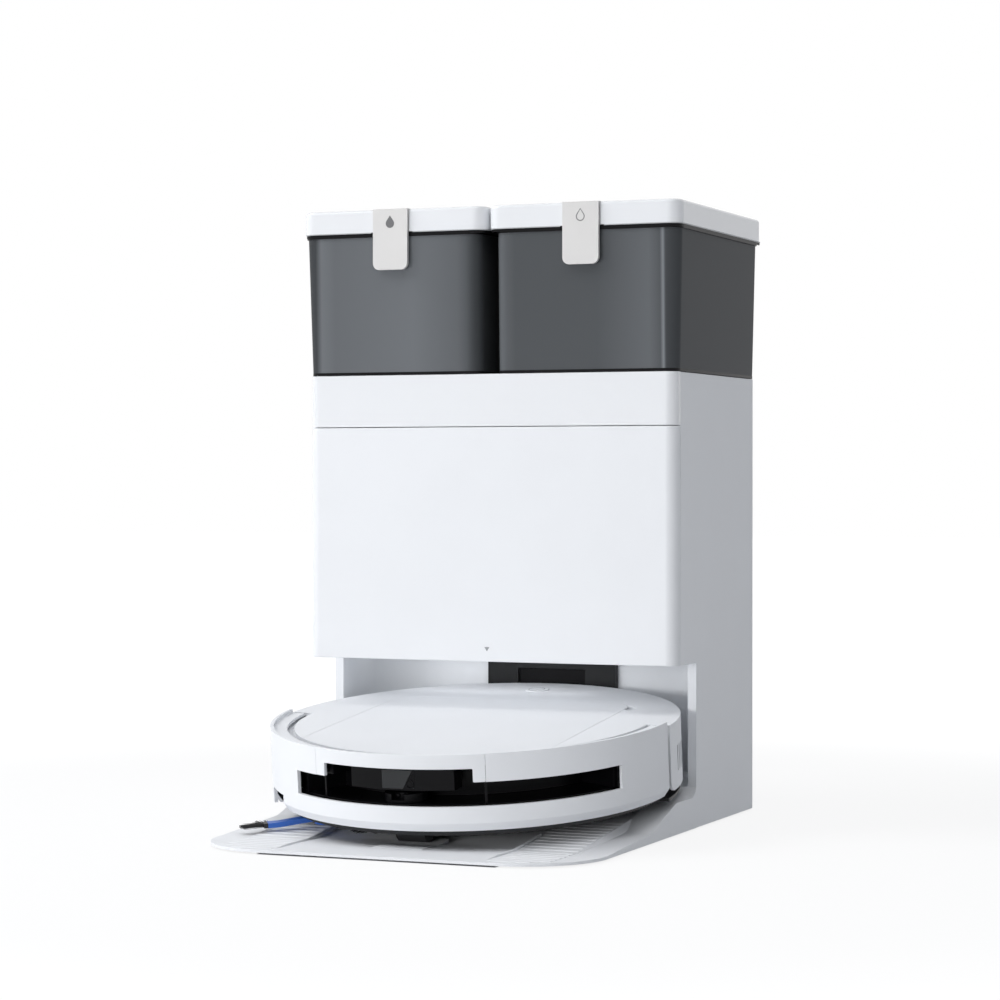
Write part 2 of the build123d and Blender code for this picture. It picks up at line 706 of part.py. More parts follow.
def duct_outside(gap):
    """Outer form of the dust duct, grown by a gap."""
    y1 = IN_BACK_Y - DUCT_BACK_GAP
    x = (DUCT_X - DUCT_W / 2 - gap, DUCT_X + DUCT_W / 2 + gap)
    return block(x, (y1 - DUCT_D - gap, y1 + gap), (FOOT_H, DUCT_TOP_Z + gap))


def duct_bore():
    """Air way of the dust duct: up the back and forward into the bag compartment."""
    y1 = IN_BACK_Y - DUCT_BACK_GAP
    x = (DUCT_X - DUCT_W / 2 + DUCT_WALL, DUCT_X + DUCT_W / 2 - DUCT_WALL)
    z = (DUCT_TOP_Z - DUCT_ELBOW_H + DUCT_WALL, DUCT_TOP_Z - DUCT_WALL)
    bore = block(x, (y1 - DUCT_D + DUCT_WALL, y1 - DUCT_WALL), (FOOT_H, DUCT_TOP_Z - DUCT_WALL))
    return bore + block(x, (bag_box_y()[1] - BAG_BOX_WALL, y1 - DUCT_WALL), z)


def dust_duct():
    """Duct that carries the robot's dust from the base up to the bag."""
    x = (DUCT_X - DUCT_W / 2, DUCT_X + DUCT_W / 2)
    elbow_y = (bag_box_y()[1], IN_BACK_Y - DUCT_BACK_GAP)
    duct = duct_outside(0) + block(x, elbow_y, (DUCT_TOP_Z - DUCT_ELBOW_H, DUCT_TOP_Z))
    return duct - duct_bore() - below_ramp(0)


def bag_compartment():
    """Open-fronted box that holds the dust bag behind the front cover."""
    y = bag_box_y()
    half = BAG_BOX_W / 2
    z = (SHELF_Z, SHELF_Z + BAG_BOX_H)
    box = block((-half, half), y, z)
    box -= block((BAG_BOX_WALL - half, half - BAG_BOX_WALL), (y[0], y[1] - BAG_BOX_WALL),
                 (z[0] + BAG_BOX_WALL, z[1] - BAG_BOX_WALL))
    return box - duct_bore()


def dust_bag():
    """Disposable dust bag, hung against the back wall of its compartment."""
    back = bag_box_y()[1] - BAG_BOX_WALL
    floor_z = SHELF_Z + BAG_BOX_WALL
    outline = RectangleRounded(BAG_W, BAG_H, BAG_R)
    bag = extrude(Plane.XZ * outline, BAG_D)
    return Pos(0, back, floor_z + BAG_H / 2) * bag


def suction_motor():
    """Upright fan that empties the robot's bin."""
    top = SHELF_Z + SUCTION_H
    motor = post(SUCTION_X, SUCTION_Y, (SHELF_Z, top), SUCTION_R)
    return motor + post(SUCTION_X, SUCTION_Y, (top, top + SUCTION_CAP_H), SUCTION_CAP_R)


def water_pump(y):
    """Small pump on the shelf with its nozzle upwards."""
    top = SHELF_Z + PUMP_H
    pump = block((PUMP_X - PUMP_W / 2, PUMP_X + PUMP_W / 2), (y - PUMP_L / 2, y + PUMP_L / 2), (SHELF_Z, top))
    return pump + post(PUMP_X, y, (top, top + PUMP_NOZZLE_L), PUMP_NOZZLE_R)


def control_board():
    """Upright circuit board against the rear cover."""
    x = (BOARD_X - BOARD_W / 2, BOARD_X + BOARD_W / 2)
    front = IN_BACK_Y - BOARD_T
    board = block(x, (front, IN_BACK_Y), (SHELF_Z, SHELF_Z + BOARD_H))
    chip_x = (BOARD_X - BOARD_CHIP_W / 2, BOARD_X + BOARD_CHIP_W / 2)
    for step in range(BOARD_CHIPS):
        z = SHELF_Z + BOARD_CHIP_LOW + step * BOARD_CHIP_PITCH
        board += block(chip_x, (front - BOARD_CHIP_H, front), (z, z + BOARD_CHIP_L))
    return board


def power_supply():
    """Boxed power supply on the shelf."""
    x = (SUPPLY_X - SUPPLY_W / 2, SUPPLY_X + SUPPLY_W / 2)
    return block(x, (IN_BACK_Y - SUPPLY_D, IN_BACK_Y), (SHELF_Z, SHELF_Z + SUPPLY_H))


def lid_x():
    """Inner and outer edge of the right lid."""
    return (LID_GAP / 2, HALF_W + LID_OVERHANG)


def tank_mid_x():
    """Middle of the right tank, which its lid, latch and valve share."""
    return sum(lid_x()) / 2


def tank_outline(z, inset):
    """Outline of the right tank at a height, drawn in from its outer wall."""
    grow = TANK_DRAFT * (z - TANK_Z) / (RIM_Z - TANK_Z)
    x = (TANK_GAP / 2 + inset, HALF_W + grow - inset)
    y = (FACE_Y - grow + inset, BACK_Y - inset)
    outline = RectangleRounded(x[1] - x[0], y[1] - y[0], TANK_CORNER_R - min(inset, TANK_CORNER_R / 2))
    return Pos((x[0] + x[1]) / 2, (y[0] + y[1]) / 2, z) * outline


def water_tank():
    """Tapered tank, open at the top, with a hole for its valve."""
    floor_z = TANK_Z + TANK_FLOOR_T
    tank = loft([tank_outline(TANK_Z, 0), tank_outline(RIM_Z, 0)])
    tank -= loft([tank_outline(floor_z, TANK_WALL), tank_outline(RIM_Z, TANK_WALL)])
    return tank - post(tank_mid_x(), VALVE_Y, (TANK_Z, floor_z), VALVE_R)


def hinge_place():
    """Y and Z of the lid's hinge axis."""
    return BACK_Y + LID_OVERHANG - HINGE_INSET, LID_Z


def knuckle_ends(inner):
    """X limits of the two tank knuckles, or of the lid knuckle between them."""
    low = tank_mid_x() - KNUCKLE_X
    high = tank_mid_x() + KNUCKLE_X
    half = KNUCKLE_L / 2
    if inner:
        return [(low + half + MOVE_GAP, high - half - MOVE_GAP)]
    return [(low - half, low + half), (high - half, high + half)]


def tank_rim():
    """Black rim on top of the tank with the fixed knuckles of the lid hinge."""
    y, z = hinge_place()
    hole = tank_outline(RIM_Z, TANK_WALL)
    rim = extrude(tank_outline(RIM_Z, -RIM_OVERHANG) - hole, RIM_H)
    for x in knuckle_ends(True):
        rim -= bar((x[0] - MOVE_GAP, x[1] + MOVE_GAP), y, z, HINGE_R + MOVE_GAP)
    for x in knuckle_ends(False):
        rim += bar(x, y, z, HINGE_R)
        rim += block(x, (y - 2 * HINGE_R, y), (z - HINGE_R, z - SEAT_GAP))
        rim -= bar(x, y, z, HINGE_PIN_R)
    return rim


def hinge_pin():
    """Steel pin through the knuckles of the lid hinge."""
    y, z = hinge_place()
    ends = knuckle_ends(False)
    return bar((ends[0][0], ends[1][1]), y, z, HINGE_PIN_R)


def tank_valve():
    """Drain valve through the tank floor and into the deck."""
    floor_z = TANK_Z + TANK_FLOOR_T
    valve = post(tank_mid_x(), VALVE_Y, (TANK_Z - VALVE_DROP, floor_z), VALVE_R)
    return valve + post(tank_mid_x(), VALVE_Y, (floor_z, floor_z + VALVE_FLANGE_T), VALVE_FLANGE_R)


def latch_pivot():
    """Y and Z of the latch axis, close under the front of the lid's top."""
    return FACE_Y - LID_OVERHANG + LATCH_PIVOT_Y, STATION_H - LATCH_PIVOT_R


def tank_lid():
    """Hollow lid with a pocket for the latch in front and a hinge knuckle behind."""
    x = lid_x()
    y = (FACE_Y - LID_OVERHANG, BACK_Y + LID_OVERHANG)
    outer = rounded_block(x, y, (LID_Z, STATION_H), TANK_CORNER_R)
    outer = fillet(outer.faces().sort_by(Axis.Z)[-1].edges(), LID_EDGE_R)
    inside = rounded_block((x[0] + LID_T, x[1] - LID_T), (y[0] + LID_T, y[1] - LID_T),
                           (LID_Z, STATION_H - LID_T), TANK_CORNER_R - LID_T)
    lid = outer - inside
    pivot_y, pivot_z = latch_pivot()
    reach = LATCH_PIVOT_R + MOVE_GAP
    half = LATCH_W / 2 + MOVE_GAP
    mid = tank_mid_x()
    wall = LATCH_POCKET_WALL
    lid += outer & block((mid - half - wall, mid + half + wall), (y[0], pivot_y + reach + wall),
                         (LID_Z, STATION_H))
    lid -= block((mid - half, mid + half), (y[0], pivot_y), (LID_Z, STATION_H))
    lid -= bar((mid - half, mid + half), pivot_y, pivot_z, reach)
    lid -= block((mid - half, mid + half), (pivot_y, pivot_y + reach), (pivot_z, STATION_H))
    lid -= bar((mid - half - LATCH_STUB_L, mid + half + LATCH_STUB_L), pivot_y, pivot_z,
               LATCH_STUB_R + HINGE_RUN)
    hinge_y, hinge_z = hinge_place()
    for ends in knuckle_ends(False):
        lid -= bar((ends[0] - MOVE_GAP, ends[1] + MOVE_GAP), hinge_y, hinge_z, HINGE_R + MOVE_GAP)
    for ends in knuckle_ends(True):
        lid += bar(ends, hinge_y, hinge_z, HINGE_R)
        lid -= bar(ends, hinge_y, hinge_z, HINGE_PIN_R + HINGE_RUN)
    return lid


def lid_latch():
    """Front latch that hangs from the lid on two moulded stubs and covers the front of the rim."""
    pivot_y, pivot_z = latch_pivot()
    mid = tank_mid_x()
    x = (mid - LATCH_W / 2, mid + LATCH_W / 2)
    front = FACE_Y - LID_OVERHANG - LATCH_PROUD
    plate = block(x, (front, front + LATCH_T), (STATION_H - LATCH_H, STATION_H))
    lower = plate.edges().filter_by(Axis.Y).group_by(Axis.Z)[0]
    latch = fillet(lower, LATCH_R) + block(x, (front, pivot_y), (pivot_z, STATION_H))
    latch += bar(x, pivot_y, pivot_z, LATCH_PIVOT_R)
    reach = LATCH_STUB_L - MOVE_GAP
    return latch + bar((x[0] - reach, x[1] + reach), pivot_y, pivot_z, LATCH_STUB_R)


def add_station():
    """All pieces of the station and its tanks."""
    station("base_plate", base_plate())
    station("feet", feet())
    station("wash_tray", wash_tray())
    station("side_panel_right", side_panel())
    station("side_panel_left", mirror_x(side_panel()))
    station("bay_liner", bay_liner())
    station("beacon_window", beacon_window())
    station("charge_contacts", charge_contacts())
    station("front_cover", front_cover())
    station("upper_shell", upper_shell())
    station("rear_cover", rear_cover())
    station("mains_inlet", mains_inlet())
    station("bag_compartment", bag_compartment())
    station("dust_bag", dust_bag())
    station("dust_duct", dust_duct())
    station("suction_motor", suction_motor())
    station("clean_pump", water_pump(CLEAN_PUMP_Y))
    station("drain_pump", water_pump(DRAIN_PUMP_Y))
    station("control_board", control_board())
    station("power_supply", power_supply())
    tank_pieces = {"tank": water_tank(), "tank_rim": tank_rim(), "tank_valve": tank_valve(),
                   "hinge_pin": hinge_pin(), "lid": tank_lid(), "latch": lid_latch()}
    for name, piece in tank_pieces.items():
        station("clean_" + name, piece)
        station("dirty_" + name, mirror_x(piece))


def rear_half(part):
    """What lies behind the ends of the bumper."""
    reach = 2 * ROBOT_R
    return part & block((-reach, reach), (REAR_SHELL_FRONT_V, reach), (-reach, reach))


def tube(radius, wall, w, place=(0, 0)):
    """Upright tube from its outer radius and wall."""
    return post(*place, w, radius) - post(*place, w, radius - wall)


def brush_box(w, grow):
    """Space round the main brush, grown by a wall."""
    half_u = BRUSH_L / 2 + BRUSH_END_GAP + grow
    half_v = BRUSH_R + BRUSH_TIP_GAP + grow
    return block((-half_u, half_u), (BRUSH_V - half_v, BRUSH_V + half_v), w)


def brush_housing_top():
    """Top of the main brush housing."""
    return BRUSH_AXIS_W + BRUSH_R + BRUSH_TIP_GAP + BRUSH_HOUSING_T


def arm_u():
    """Inner and outer face of the right wheel arm."""
    outer = WHEEL_U - WHEEL_W / 2 - ARM_GAP
    return (outer - ARM_T, outer)


def bracket_u():
    """Inner and outer face of the bracket that carries the right wheel arm."""
    outer = arm_u()[0] - MOVE_GAP
    return (outer - BRACKET_T, outer)


def wheel_bay():
    """Right bracket of the wheel arm, with its pivot bore."""
    bracket = block(bracket_u(), (ARM_V - BRACKET_L / 2, ARM_V + BRACKET_L / 2),
                    (BELLY_TOP_W, ARM_W + ARM_BOSS_R))
    return bracket - bar(bracket_u(), ARM_V, ARM_W, AXLE_R + AXLE_RUN)


def wheel_well():
    """Opening in the belly for the right drive wheel."""
    half_w = WHEEL_W / 2 + WELL_GAP
    half_l = WHEEL_R + WELL_GAP
    return block((WHEEL_U - half_w, WHEEL_U + half_w), (-half_l, half_l), (BELLY_W, BELLY_TOP_W))


def fork_w():
    """Bottom and top of the caster's turning plate."""
    low = 2 * CASTER_R + CASTER_TOP_GAP
    return (low, low + FORK_T)


def caster_well():
    """Cup over the caster with a bore for its stem."""
    low = fork_w()[1] + MOVE_GAP
    top = low + CASTER_WELL_T
    place = (0, CASTER_V)
    cup = tube(CASTER_WELL_R + CASTER_WELL_T, CASTER_WELL_T, (BELLY_TOP_W, top), place)
    cup += post(*place, (low, top), CASTER_WELL_R)
    cup += post(*place, (top, fork_w()[1] + CASTER_STEM_L), CASTER_BOSS_R)
    return cup - post(*place, (low, fork_w()[1] + CASTER_STEM_L), CASTER_STEM_R + AXLE_RUN)


def chassis():
    """Belly plate with the wells, bores and brackets of everything that moves under it."""
    belly_w = (BELLY_W, BELLY_TOP_W)
    base = post(0, 0, belly_w, CHASSIS_FRONT_R) + rear_half(post(0, 0, belly_w, ROBOT_R - SHELL_T))
    wall_w = (BELLY_TOP_W, CHASSIS_WALL_TOP_W)
    base += tube(CHASSIS_FRONT_R, SHELL_T, wall_w) - rear_half(post(0, 0, wall_w, ROBOT_R))
    base = base - bumper_guide(GUIDE_RUN) - mirror_x(bumper_guide(GUIDE_RUN))
    base -= post(0, CASTER_V, belly_w, CASTER_WELL_R)
    base += caster_well()
    base += brush_box((BELLY_TOP_W, brush_housing_top()), BRUSH_HOUSING_T)
    base -= brush_box((BELLY_W, brush_housing_top() - BRUSH_HOUSING_T), 0)
    shaft_u = BRUSH_L / 2 + BRUSH_END_GAP + BRUSH_HOUSING_T
    base -= bar((-shaft_u, shaft_u), BRUSH_V, BRUSH_AXIS_W, BRUSH_SHAFT_R + AXLE_RUN)
    side_w = (BELLY_W, BELLY_TOP_W + SIDE_SHAFT_L)
    base += post(SIDE_BRUSH_U, SIDE_BRUSH_V, side_w, SIDE_BOSS_R)
    base -= post(SIDE_BRUSH_U, SIDE_BRUSH_V, side_w, SIDE_SHAFT_R + AXLE_RUN)
    base += wheel_bay() + mirror_x(wheel_bay())
    base = base - wheel_well() - mirror_x(wheel_well())
    mop_w = (BELLY_W, BELLY_TOP_W + MOP_SHAFT_L)
    for side in (-1, 1):
        base += post(side * MOP_U, MOP_V, mop_w, MOP_BOSS_R)
        base -= post(side * MOP_U, MOP_V, mop_w, MOP_SHAFT_R + AXLE_RUN)
    return base


def rear_shell():
    """Rear outer wall with rounded lower front corners and exhaust slots on the right."""
    w = (REAR_SHELL_BOTTOM_W, DECK_LOW_W)
    shell = rear_half(tube(ROBOT_R, SHELL_T, w))
    corner_v = REAR_SHELL_FRONT_V + REAR_EDGE_R
    corner_w = REAR_SHELL_BOTTOM_W + REAR_EDGE_R
    span = (-2 * ROBOT_R, 2 * ROBOT_R)
    corner = block(span, (REAR_SHELL_FRONT_V, corner_v), (REAR_SHELL_BOTTOM_W, corner_w))
    shell -= corner - bar(span, corner_v, corner_w, REAR_EDGE_R)
    for step in range(EXHAUST_COUNT):
        start = EXHAUST_START + step * EXHAUST_STEP
        shell -= ring_block((ROBOT_R - 2 * SHELL_T, ROBOT_R + SHELL_T), (EXHAUST_LOW_W, EXHAUST_HIGH_W),
                            (start, start + EXHAUST_OPEN))
    return shell


def cover_rect(grow):
    """Outline of the lift-off cover before its round front edge is cut."""
    half = COVER_HALF_W + grow
    back = COVER_BACK_V + grow
    outline = Pos(0, (back - ROBOT_R) / 2) * Rectangle(2 * half, back + ROBOT_R)
    return fillet(outline.vertices().group_by(Axis.Y)[-1], COVER_CORNER_R + grow)


def flat(outline, w):
    """Plate of a given outline between two heights."""
    return Pos(0, 0, w[0]) * extrude(outline, w[1] - w[0], dir=(0, 0, 1))


def top_shell():
    """Deck round the lift-off cover, with its seat, the gutter behind the bumper and the button's guide."""
    deck_w = (DECK_LOW_W, DECK_TOP_W)
    seat_w = (DECK_LOW_W - COVER_SEAT_T, DECK_LOW_W)
    shell = post(0, 0, deck_w, DECK_FRONT_R) + rear_half(post(0, 0, deck_w, ROBOT_R))
    shell -= flat(cover_rect(COVER_GAP), deck_w)
    seat = (cover_rect(COVER_SEAT_OUT) & Circle(DECK_FRONT_R - COVER_GAP))
    seat -= cover_rect(-COVER_SEAT_IN) & Circle(DECK_FRONT_R - COVER_SEAT_IN)
    shell += flat(seat, seat_w)
    gutter_w = (seat_w[0] - GUTTER_T, seat_w[0])
    gutter = post(0, 0, gutter_w, GUTTER_R) - post(0, 0, gutter_w, DECK_FRONT_R - GUTTER_IN)
    shell += gutter - rear_half(gutter)
    link = tube(DECK_FRONT_R - COVER_GAP, COVER_SEAT_OUT, seat_w)
    shell += link - rear_half(link)
    tube_w = (DECK_LOW_W - BUTTON_TUBE_H, DECK_LOW_W)
    shell += tube(BUTTON_R + MOVE_GAP + BUTTON_TUBE_T, BUTTON_TUBE_T, tube_w, (0, BUTTON_V))
    shell -= post(0, BUTTON_V, deck_w, BUTTON_R + MOVE_GAP)
    return shell - post(COVER_HALF_W, THUMB_V, (DECK_LOW_W + SEAT_GAP, DECK_TOP_W), THUMB_R)


def top_cover():
    """Lift-off cover over the dust bin."""
    return flat(cover_rect(0) & Circle(DECK_FRONT_R), (DECK_LOW_W + SEAT_GAP, DECK_TOP_W))


def start_button():
    """Round push button behind the lift-off cover."""
    top = DECK_TOP_W + BUTTON_PROUD
    return post(0, BUTTON_V, (top - BUTTON_H, top), BUTTON_R)


def bumper_blank():
    """Bumper before its slot and hood are cut: wall, bevel (upright left of the notch), rim and ledge."""
    inner = ROBOT_R - BUMPER_T
    ledge_w = ROBOT_H - BUMPER_RIM_DROP
    points = [
        (ROBOT_R, BUMPER_BEVEL_W), (ROBOT_R, ROBOT_H), (inner, ROBOT_H), (inner, ledge_w),
        (LEDGE_INNER_R, ledge_w), (LEDGE_INNER_R, ledge_w - LEDGE_T), (inner, ledge_w - LEDGE_T),
        (inner, BUMPER_BEVEL_W), (inner - BUMPER_BEVEL_IN, BUMPER_BOTTOM_W),
        (ROBOT_R - BUMPER_BEVEL_IN, BUMPER_BOTTOM_W)]
    blank = ring_sector(points, -BUMPER_END_ANGLE, BUMPER_END_ANGLE)
    upright_w = (BUMPER_BOTTOM_W, BUMPER_BEVEL_W)
    blank += ring_block((inner, ROBOT_R), upright_w, (-BUMPER_END_ANGLE, BRUSH_NOTCH_LEFT))
    through = (LEDGE_INNER_R - BUMPER_T, ROBOT_R + BUMPER_T)
    blank -= ring_block(through, (SLOT_LOW_W, SLOT_HIGH_W), (SLOT_LEFT, SLOT_RIGHT))
    blank -= ring_block(through, (SLOT_HIGH_W, WINDOW_HIGH_W), (-WINDOW_HALF, WINDOW_HALF))
    return blank - ring_block(through, (0, BRUSH_NOTCH_W), (BRUSH_NOTCH_LEFT, BRUSH_NOTCH_RIGHT))


def bumper_guide(grow):
    """Right guide pin of the bumper, along its travel, grown by a clearance."""
    front = -math.sqrt((ROBOT_R - BUMPER_T) ** 2 - GUIDE_U ** 2)
    pin = peg(GUIDE_U, (-ROBOT_R, front + GUIDE_L), GUIDE_W, GUIDE_R + grow)
    return pin & post(0, 0, (0, ROBOT_H), ROBOT_R - BUMPER_T / 2)


def hood_zone(half_angle):
    """Part of the bumper that the camera hood takes up."""
    through = (LEDGE_INNER_R - BUMPER_T, ROBOT_R + BUMPER_T)
    return ring_block(through, (SLOT_HIGH_W, ROBOT_H), (-half_angle, half_angle))


def bumper():
    """Sprung front bumper with the sensor slot and two guide pins."""
    return bumper_blank() - hood_zone(HOOD_HALF) + bumper_guide(0) + mirror_x(bumper_guide(0))


def sensor_hood():
    """Hood over the camera window, set into the bumper with a fine seam."""
    return bumper_blank() & hood_zone(HOOD_HALF - math.degrees(HOOD_SEAM / ROBOT_R))


def sensor_bay():
    """Black recess behind the slot with its two thin posts and the lidar's bore."""
    outer_r = (SENSOR_BACK_R, SENSOR_FRONT_R)
    inner_r = (SENSOR_BACK_R + SENSOR_WALL, SENSOR_FRONT_R + SENSOR_WALL)
    ceiling = WINDOW_HIGH_W - SENSOR_DROP
    slot = (SLOT_LEFT, SLOT_RIGHT)
    slot_wide = (SLOT_LEFT - SENSOR_MARGIN, SLOT_RIGHT + SENSOR_MARGIN)
    window_wide = (-WINDOW_HALF - SENSOR_MARGIN, WINDOW_HALF + SENSOR_MARGIN)
    bay = ring_block(outer_r, (SLOT_LOW_W - SENSOR_WALL, SLOT_HIGH_W + SENSOR_WALL), slot_wide)
    bay += ring_block(outer_r, (SLOT_HIGH_W, ceiling + SENSOR_WALL), window_wide)
    bay -= ring_block(inner_r, (SLOT_LOW_W, SLOT_HIGH_W), slot)
    bay -= ring_block(inner_r, (SLOT_HIGH_W, ceiling), (-WINDOW_HALF, WINDOW_HALF))
    for angle in (-HOOD_HALF, HOOD_HALF):
        bay += ring_block((SENSOR_FRONT_R - SENSOR_WALL, SENSOR_FRONT_R), (SLOT_LOW_W, SLOT_HIGH_W),
                          (angle - SLOT_POST, angle + SLOT_POST))
    return bay - post(0, LIDAR_V, (SLOT_LOW_W - SENSOR_WALL, SLOT_LOW_W), LIDAR_AXLE_R + AXLE_RUN)


def camera_block():
    """Faceted camera housing that hangs from the ceiling of the sensor bay."""
    back = CAMERA_FRONT_V + CAMERA_D
    nose = CAMERA_NOSE_W / 2
    half = CAMERA_W / 2
    cheek = CAMERA_FRONT_V + CAMERA_CHEEK_D
    outline = Polygon((-nose, CAMERA_FRONT_V), (nose, CAMERA_FRONT_V), (half, cheek), (half, back),
                      (-half, back), (-half, cheek), align=None)
    return flat(outline, (CAMERA_LOW_W, WINDOW_HIGH_W - SENSOR_DROP))


def lidar_turret():
    """Turning lidar drum on the floor of the sensor bay."""
    low = SLOT_LOW_W + MOVE_GAP
    drum = post(0, LIDAR_V, (low, low + LIDAR_H), LIDAR_R)
    notch_v = (LIDAR_V - LIDAR_R, LIDAR_V - LIDAR_R + LIDAR_NOTCH_D)
    drum -= block((-LIDAR_NOTCH_W / 2, LIDAR_NOTCH_W / 2), notch_v, (low + LIDAR_NOTCH_LOW, low + LIDAR_H))
    return drum + post(0, LIDAR_V, (SLOT_LOW_W - SENSOR_WALL, low), LIDAR_AXLE_R)


def wheel_arm():
    """Right swing arm with its pivot pin and the wheel's axle."""
    u = arm_u()
    rise = ARM_W - WHEEL_R
    length = math.hypot(ARM_V, rise)
    turn = math.degrees(math.atan2(rise, ARM_V))
    outline = SlotCenterToCenter(length, 2 * ARM_BOSS_R, rotation=turn)
    arm = x_prism(Pos(ARM_V / 2, (ARM_W + WHEEL_R) / 2) * outline, u)
    arm += bar((u[1], WHEEL_U + WHEEL_W / 2), 0, WHEEL_R, AXLE_R)
    return arm + bar((bracket_u()[0], u[0]), ARM_V, ARM_W, AXLE_R)


def drive_wheel():
    """Right drive wheel with cross treads and dished sides."""
    u = (WHEEL_U - WHEEL_W / 2, WHEEL_U + WHEEL_W / 2)
    wheel = bar(u, 0, WHEEL_R, WHEEL_R)
    wheel -= bar((u[1] - WHEEL_DISH, u[1]), 0, WHEEL_R, WHEEL_HUB_R)
    groove = block(u, (-TREAD_W / 2, TREAD_W / 2), (WHEEL_R - TREAD_DEPTH, WHEEL_R + TREAD_DEPTH))
    turns = [360 * (step + 0.5) / TREAD_COUNT for step in range(TREAD_COUNT)]
    wheel -= [Pos(0, 0, WHEEL_R) * Rot(turn, 0, 0) * groove for turn in turns]
    return wheel - bar(u, 0, WHEEL_R, AXLE_R + AXLE_RUN)


def caster_fork():
    """Turning plate of the front caster with two cheeks and a stem."""
    low, top = fork_w()
    fork = post(0, CASTER_V, (low, top), FORK_R)
    fork += post(0, CASTER_V, (top, top + CASTER_STEM_L), CASTER_STEM_R)
    wheel_v = CASTER_V - CASTER_TRAIL
    inner = CASTER_W / 2 + FORK_SIDE_GAP
    v = (wheel_v - CASTER_CHEEK_L / 2, wheel_v + CASTER_CHEEK_L / 2)
    w = (CASTER_R - 2 * CASTER_PIN_R, low)
    for u in ((-inner - FORK_CHEEK_T, -inner), (inner, inner + FORK_CHEEK_T)):
        fork += block(u, v, w)
    reach = inner + FORK_CHEEK_T
    return fork - bar((-reach, reach), wheel_v, CASTER_R, CASTER_PIN_R + AXLE_RUN)


def caster_wheel():
    """Wide caster wheel with its axle ends."""
    wheel_v = CASTER_V - CASTER_TRAIL
    reach = CASTER_W / 2 + FORK_SIDE_GAP + FORK_CHEEK_T
    wheel = bar((-CASTER_W / 2, CASTER_W / 2), wheel_v, CASTER_R, CASTER_R)
    return wheel + bar((-reach, reach), wheel_v, CASTER_R, CASTER_PIN_R)


def main_brush():
    """Finned roller brush with its end shafts."""
    half = BRUSH_L / 2
    reach = half + BRUSH_END_GAP + BRUSH_SHAFT_L
    brush = bar((-half, half), BRUSH_V, BRUSH_AXIS_W, BRUSH_CORE_R)
    brush += bar((-reach, reach), BRUSH_V, BRUSH_AXIS_W, BRUSH_SHAFT_R)
    fin = block((-half, half), (-BRUSH_FIN_T / 2, BRUSH_FIN_T / 2), (0, BRUSH_R))
    turns = [360 * step / BRUSH_FINS for step in range(BRUSH_FINS)]
    return brush + [Pos(0, BRUSH_V, BRUSH_AXIS_W) * Rot(turn, 0, 0) * fin for turn in turns]


def brush_guard():
    """Frame under the belly that holds the main brush in."""
    w = (BELLY_W - GUARD_T, BELLY_W)
    return brush_box(w, GUARD_EDGE) - brush_box(w, 0)


def side_brush():
    """Hub, shaft and three arms of the side brush."""
    place = (SIDE_BRUSH_U, SIDE_BRUSH_V)
    top = BELLY_W - SIDE_HUB_TOP_GAP
    brush = post(*place, (SIDE_ARM_LOW_W, top), SIDE_HUB_R)
    brush += post(*place, (top, BELLY_TOP_W + SIDE_SHAFT_L), SIDE_SHAFT_R)
    end = SIDE_ARM_L - TUFT_ROOT_L
    bend = end - SIDE_ARM_W
    tip_w = (SIDE_ARM_LOW_W, SIDE_ARM_LOW_W + SIDE_ARM_T)
    side = Polygon(
        (0, top - SIDE_ARM_T), (bend, tip_w[0]), (end, tip_w[0]), (end, tip_w[1]), (bend, tip_w[1]), (0, top),
        align=None)
    arm = extrude(Plane.XZ * side, SIDE_ARM_W / 2, both=True)
    return brush + [turned(arm, step) for step in range(SIDE_BRUSH_ARMS)]


def turned(arm, step):
    """An arm of the side brush, drawn along U, put in its place on the hub."""
    angle = SIDE_BRUSH_ANGLE + 360 * step / SIDE_BRUSH_ARMS
    return Pos(SIDE_BRUSH_U, SIDE_BRUSH_V, 0) * Rot(0, 0, angle) * arm


def tuft():
    """Fan of fine strands in a moulded root, drawn along U."""
    root_u = (SIDE_ARM_L - TUFT_ROOT_L, SIDE_ARM_L)
    root = block(root_u, (-SIDE_ARM_W / 2, SIDE_ARM_W / 2), (SIDE_ARM_LOW_W, SIDE_ARM_LOW_W + SIDE_ARM_T))
    start = root_u[0] + TUFT_EDGE
    half = STRAND_W / 2
    root_half = SIDE_ARM_W / 2 - TUFT_EDGE
    strands = []
    for layer in range(TUFT_LAYERS):
        room = SIDE_ARM_T - STRAND_W - TUFT_EDGE
        low = SIDE_ARM_LOW_W + TUFT_EDGE / 2 + room * layer / (TUFT_LAYERS - 1)
        for place in range(TUFT_PER_LAYER):
            share = 2 * place / (TUFT_PER_LAYER - 1) - 1
            near = share * root_half
            far = share * TUFT_SPREAD / 2
            tip = root_u[1] + TUFT_L - abs(share) * TUFT_ROUNDING
            corners = [(start, near - half), (tip, far - half), (tip, far + half), (start, near + half)]
            strands.append(flat(Polygon(*corners, align=None), (low, low + STRAND_W)))
    return root + strands


def side_brush_bristles():
    """One tuft at the end of each arm."""
    strands = tuft()
    return Part() + [turned(strands, step) for step in range(SIDE_BRUSH_ARMS)]


def mop_holder():
    """Right turning disc that carries a mop pad, with its drive shaft."""
    top = BELLY_W - MOP_HOLDER_GAP
    holder = post(MOP_U, MOP_V, (top - MOP_HOLDER_T, top), MOP_HOLDER_R)
    return holder + post(MOP_U, MOP_V, (top, BELLY_TOP_W + MOP_SHAFT_L), MOP_SHAFT_R)


def mop_pad():
    """Right round mop pad under its holder."""
    top = BELLY_W - MOP_HOLDER_GAP - MOP_HOLDER_T
    return post(MOP_U, MOP_V, (MOP_PAD_LOW_W, top), MOP_R)


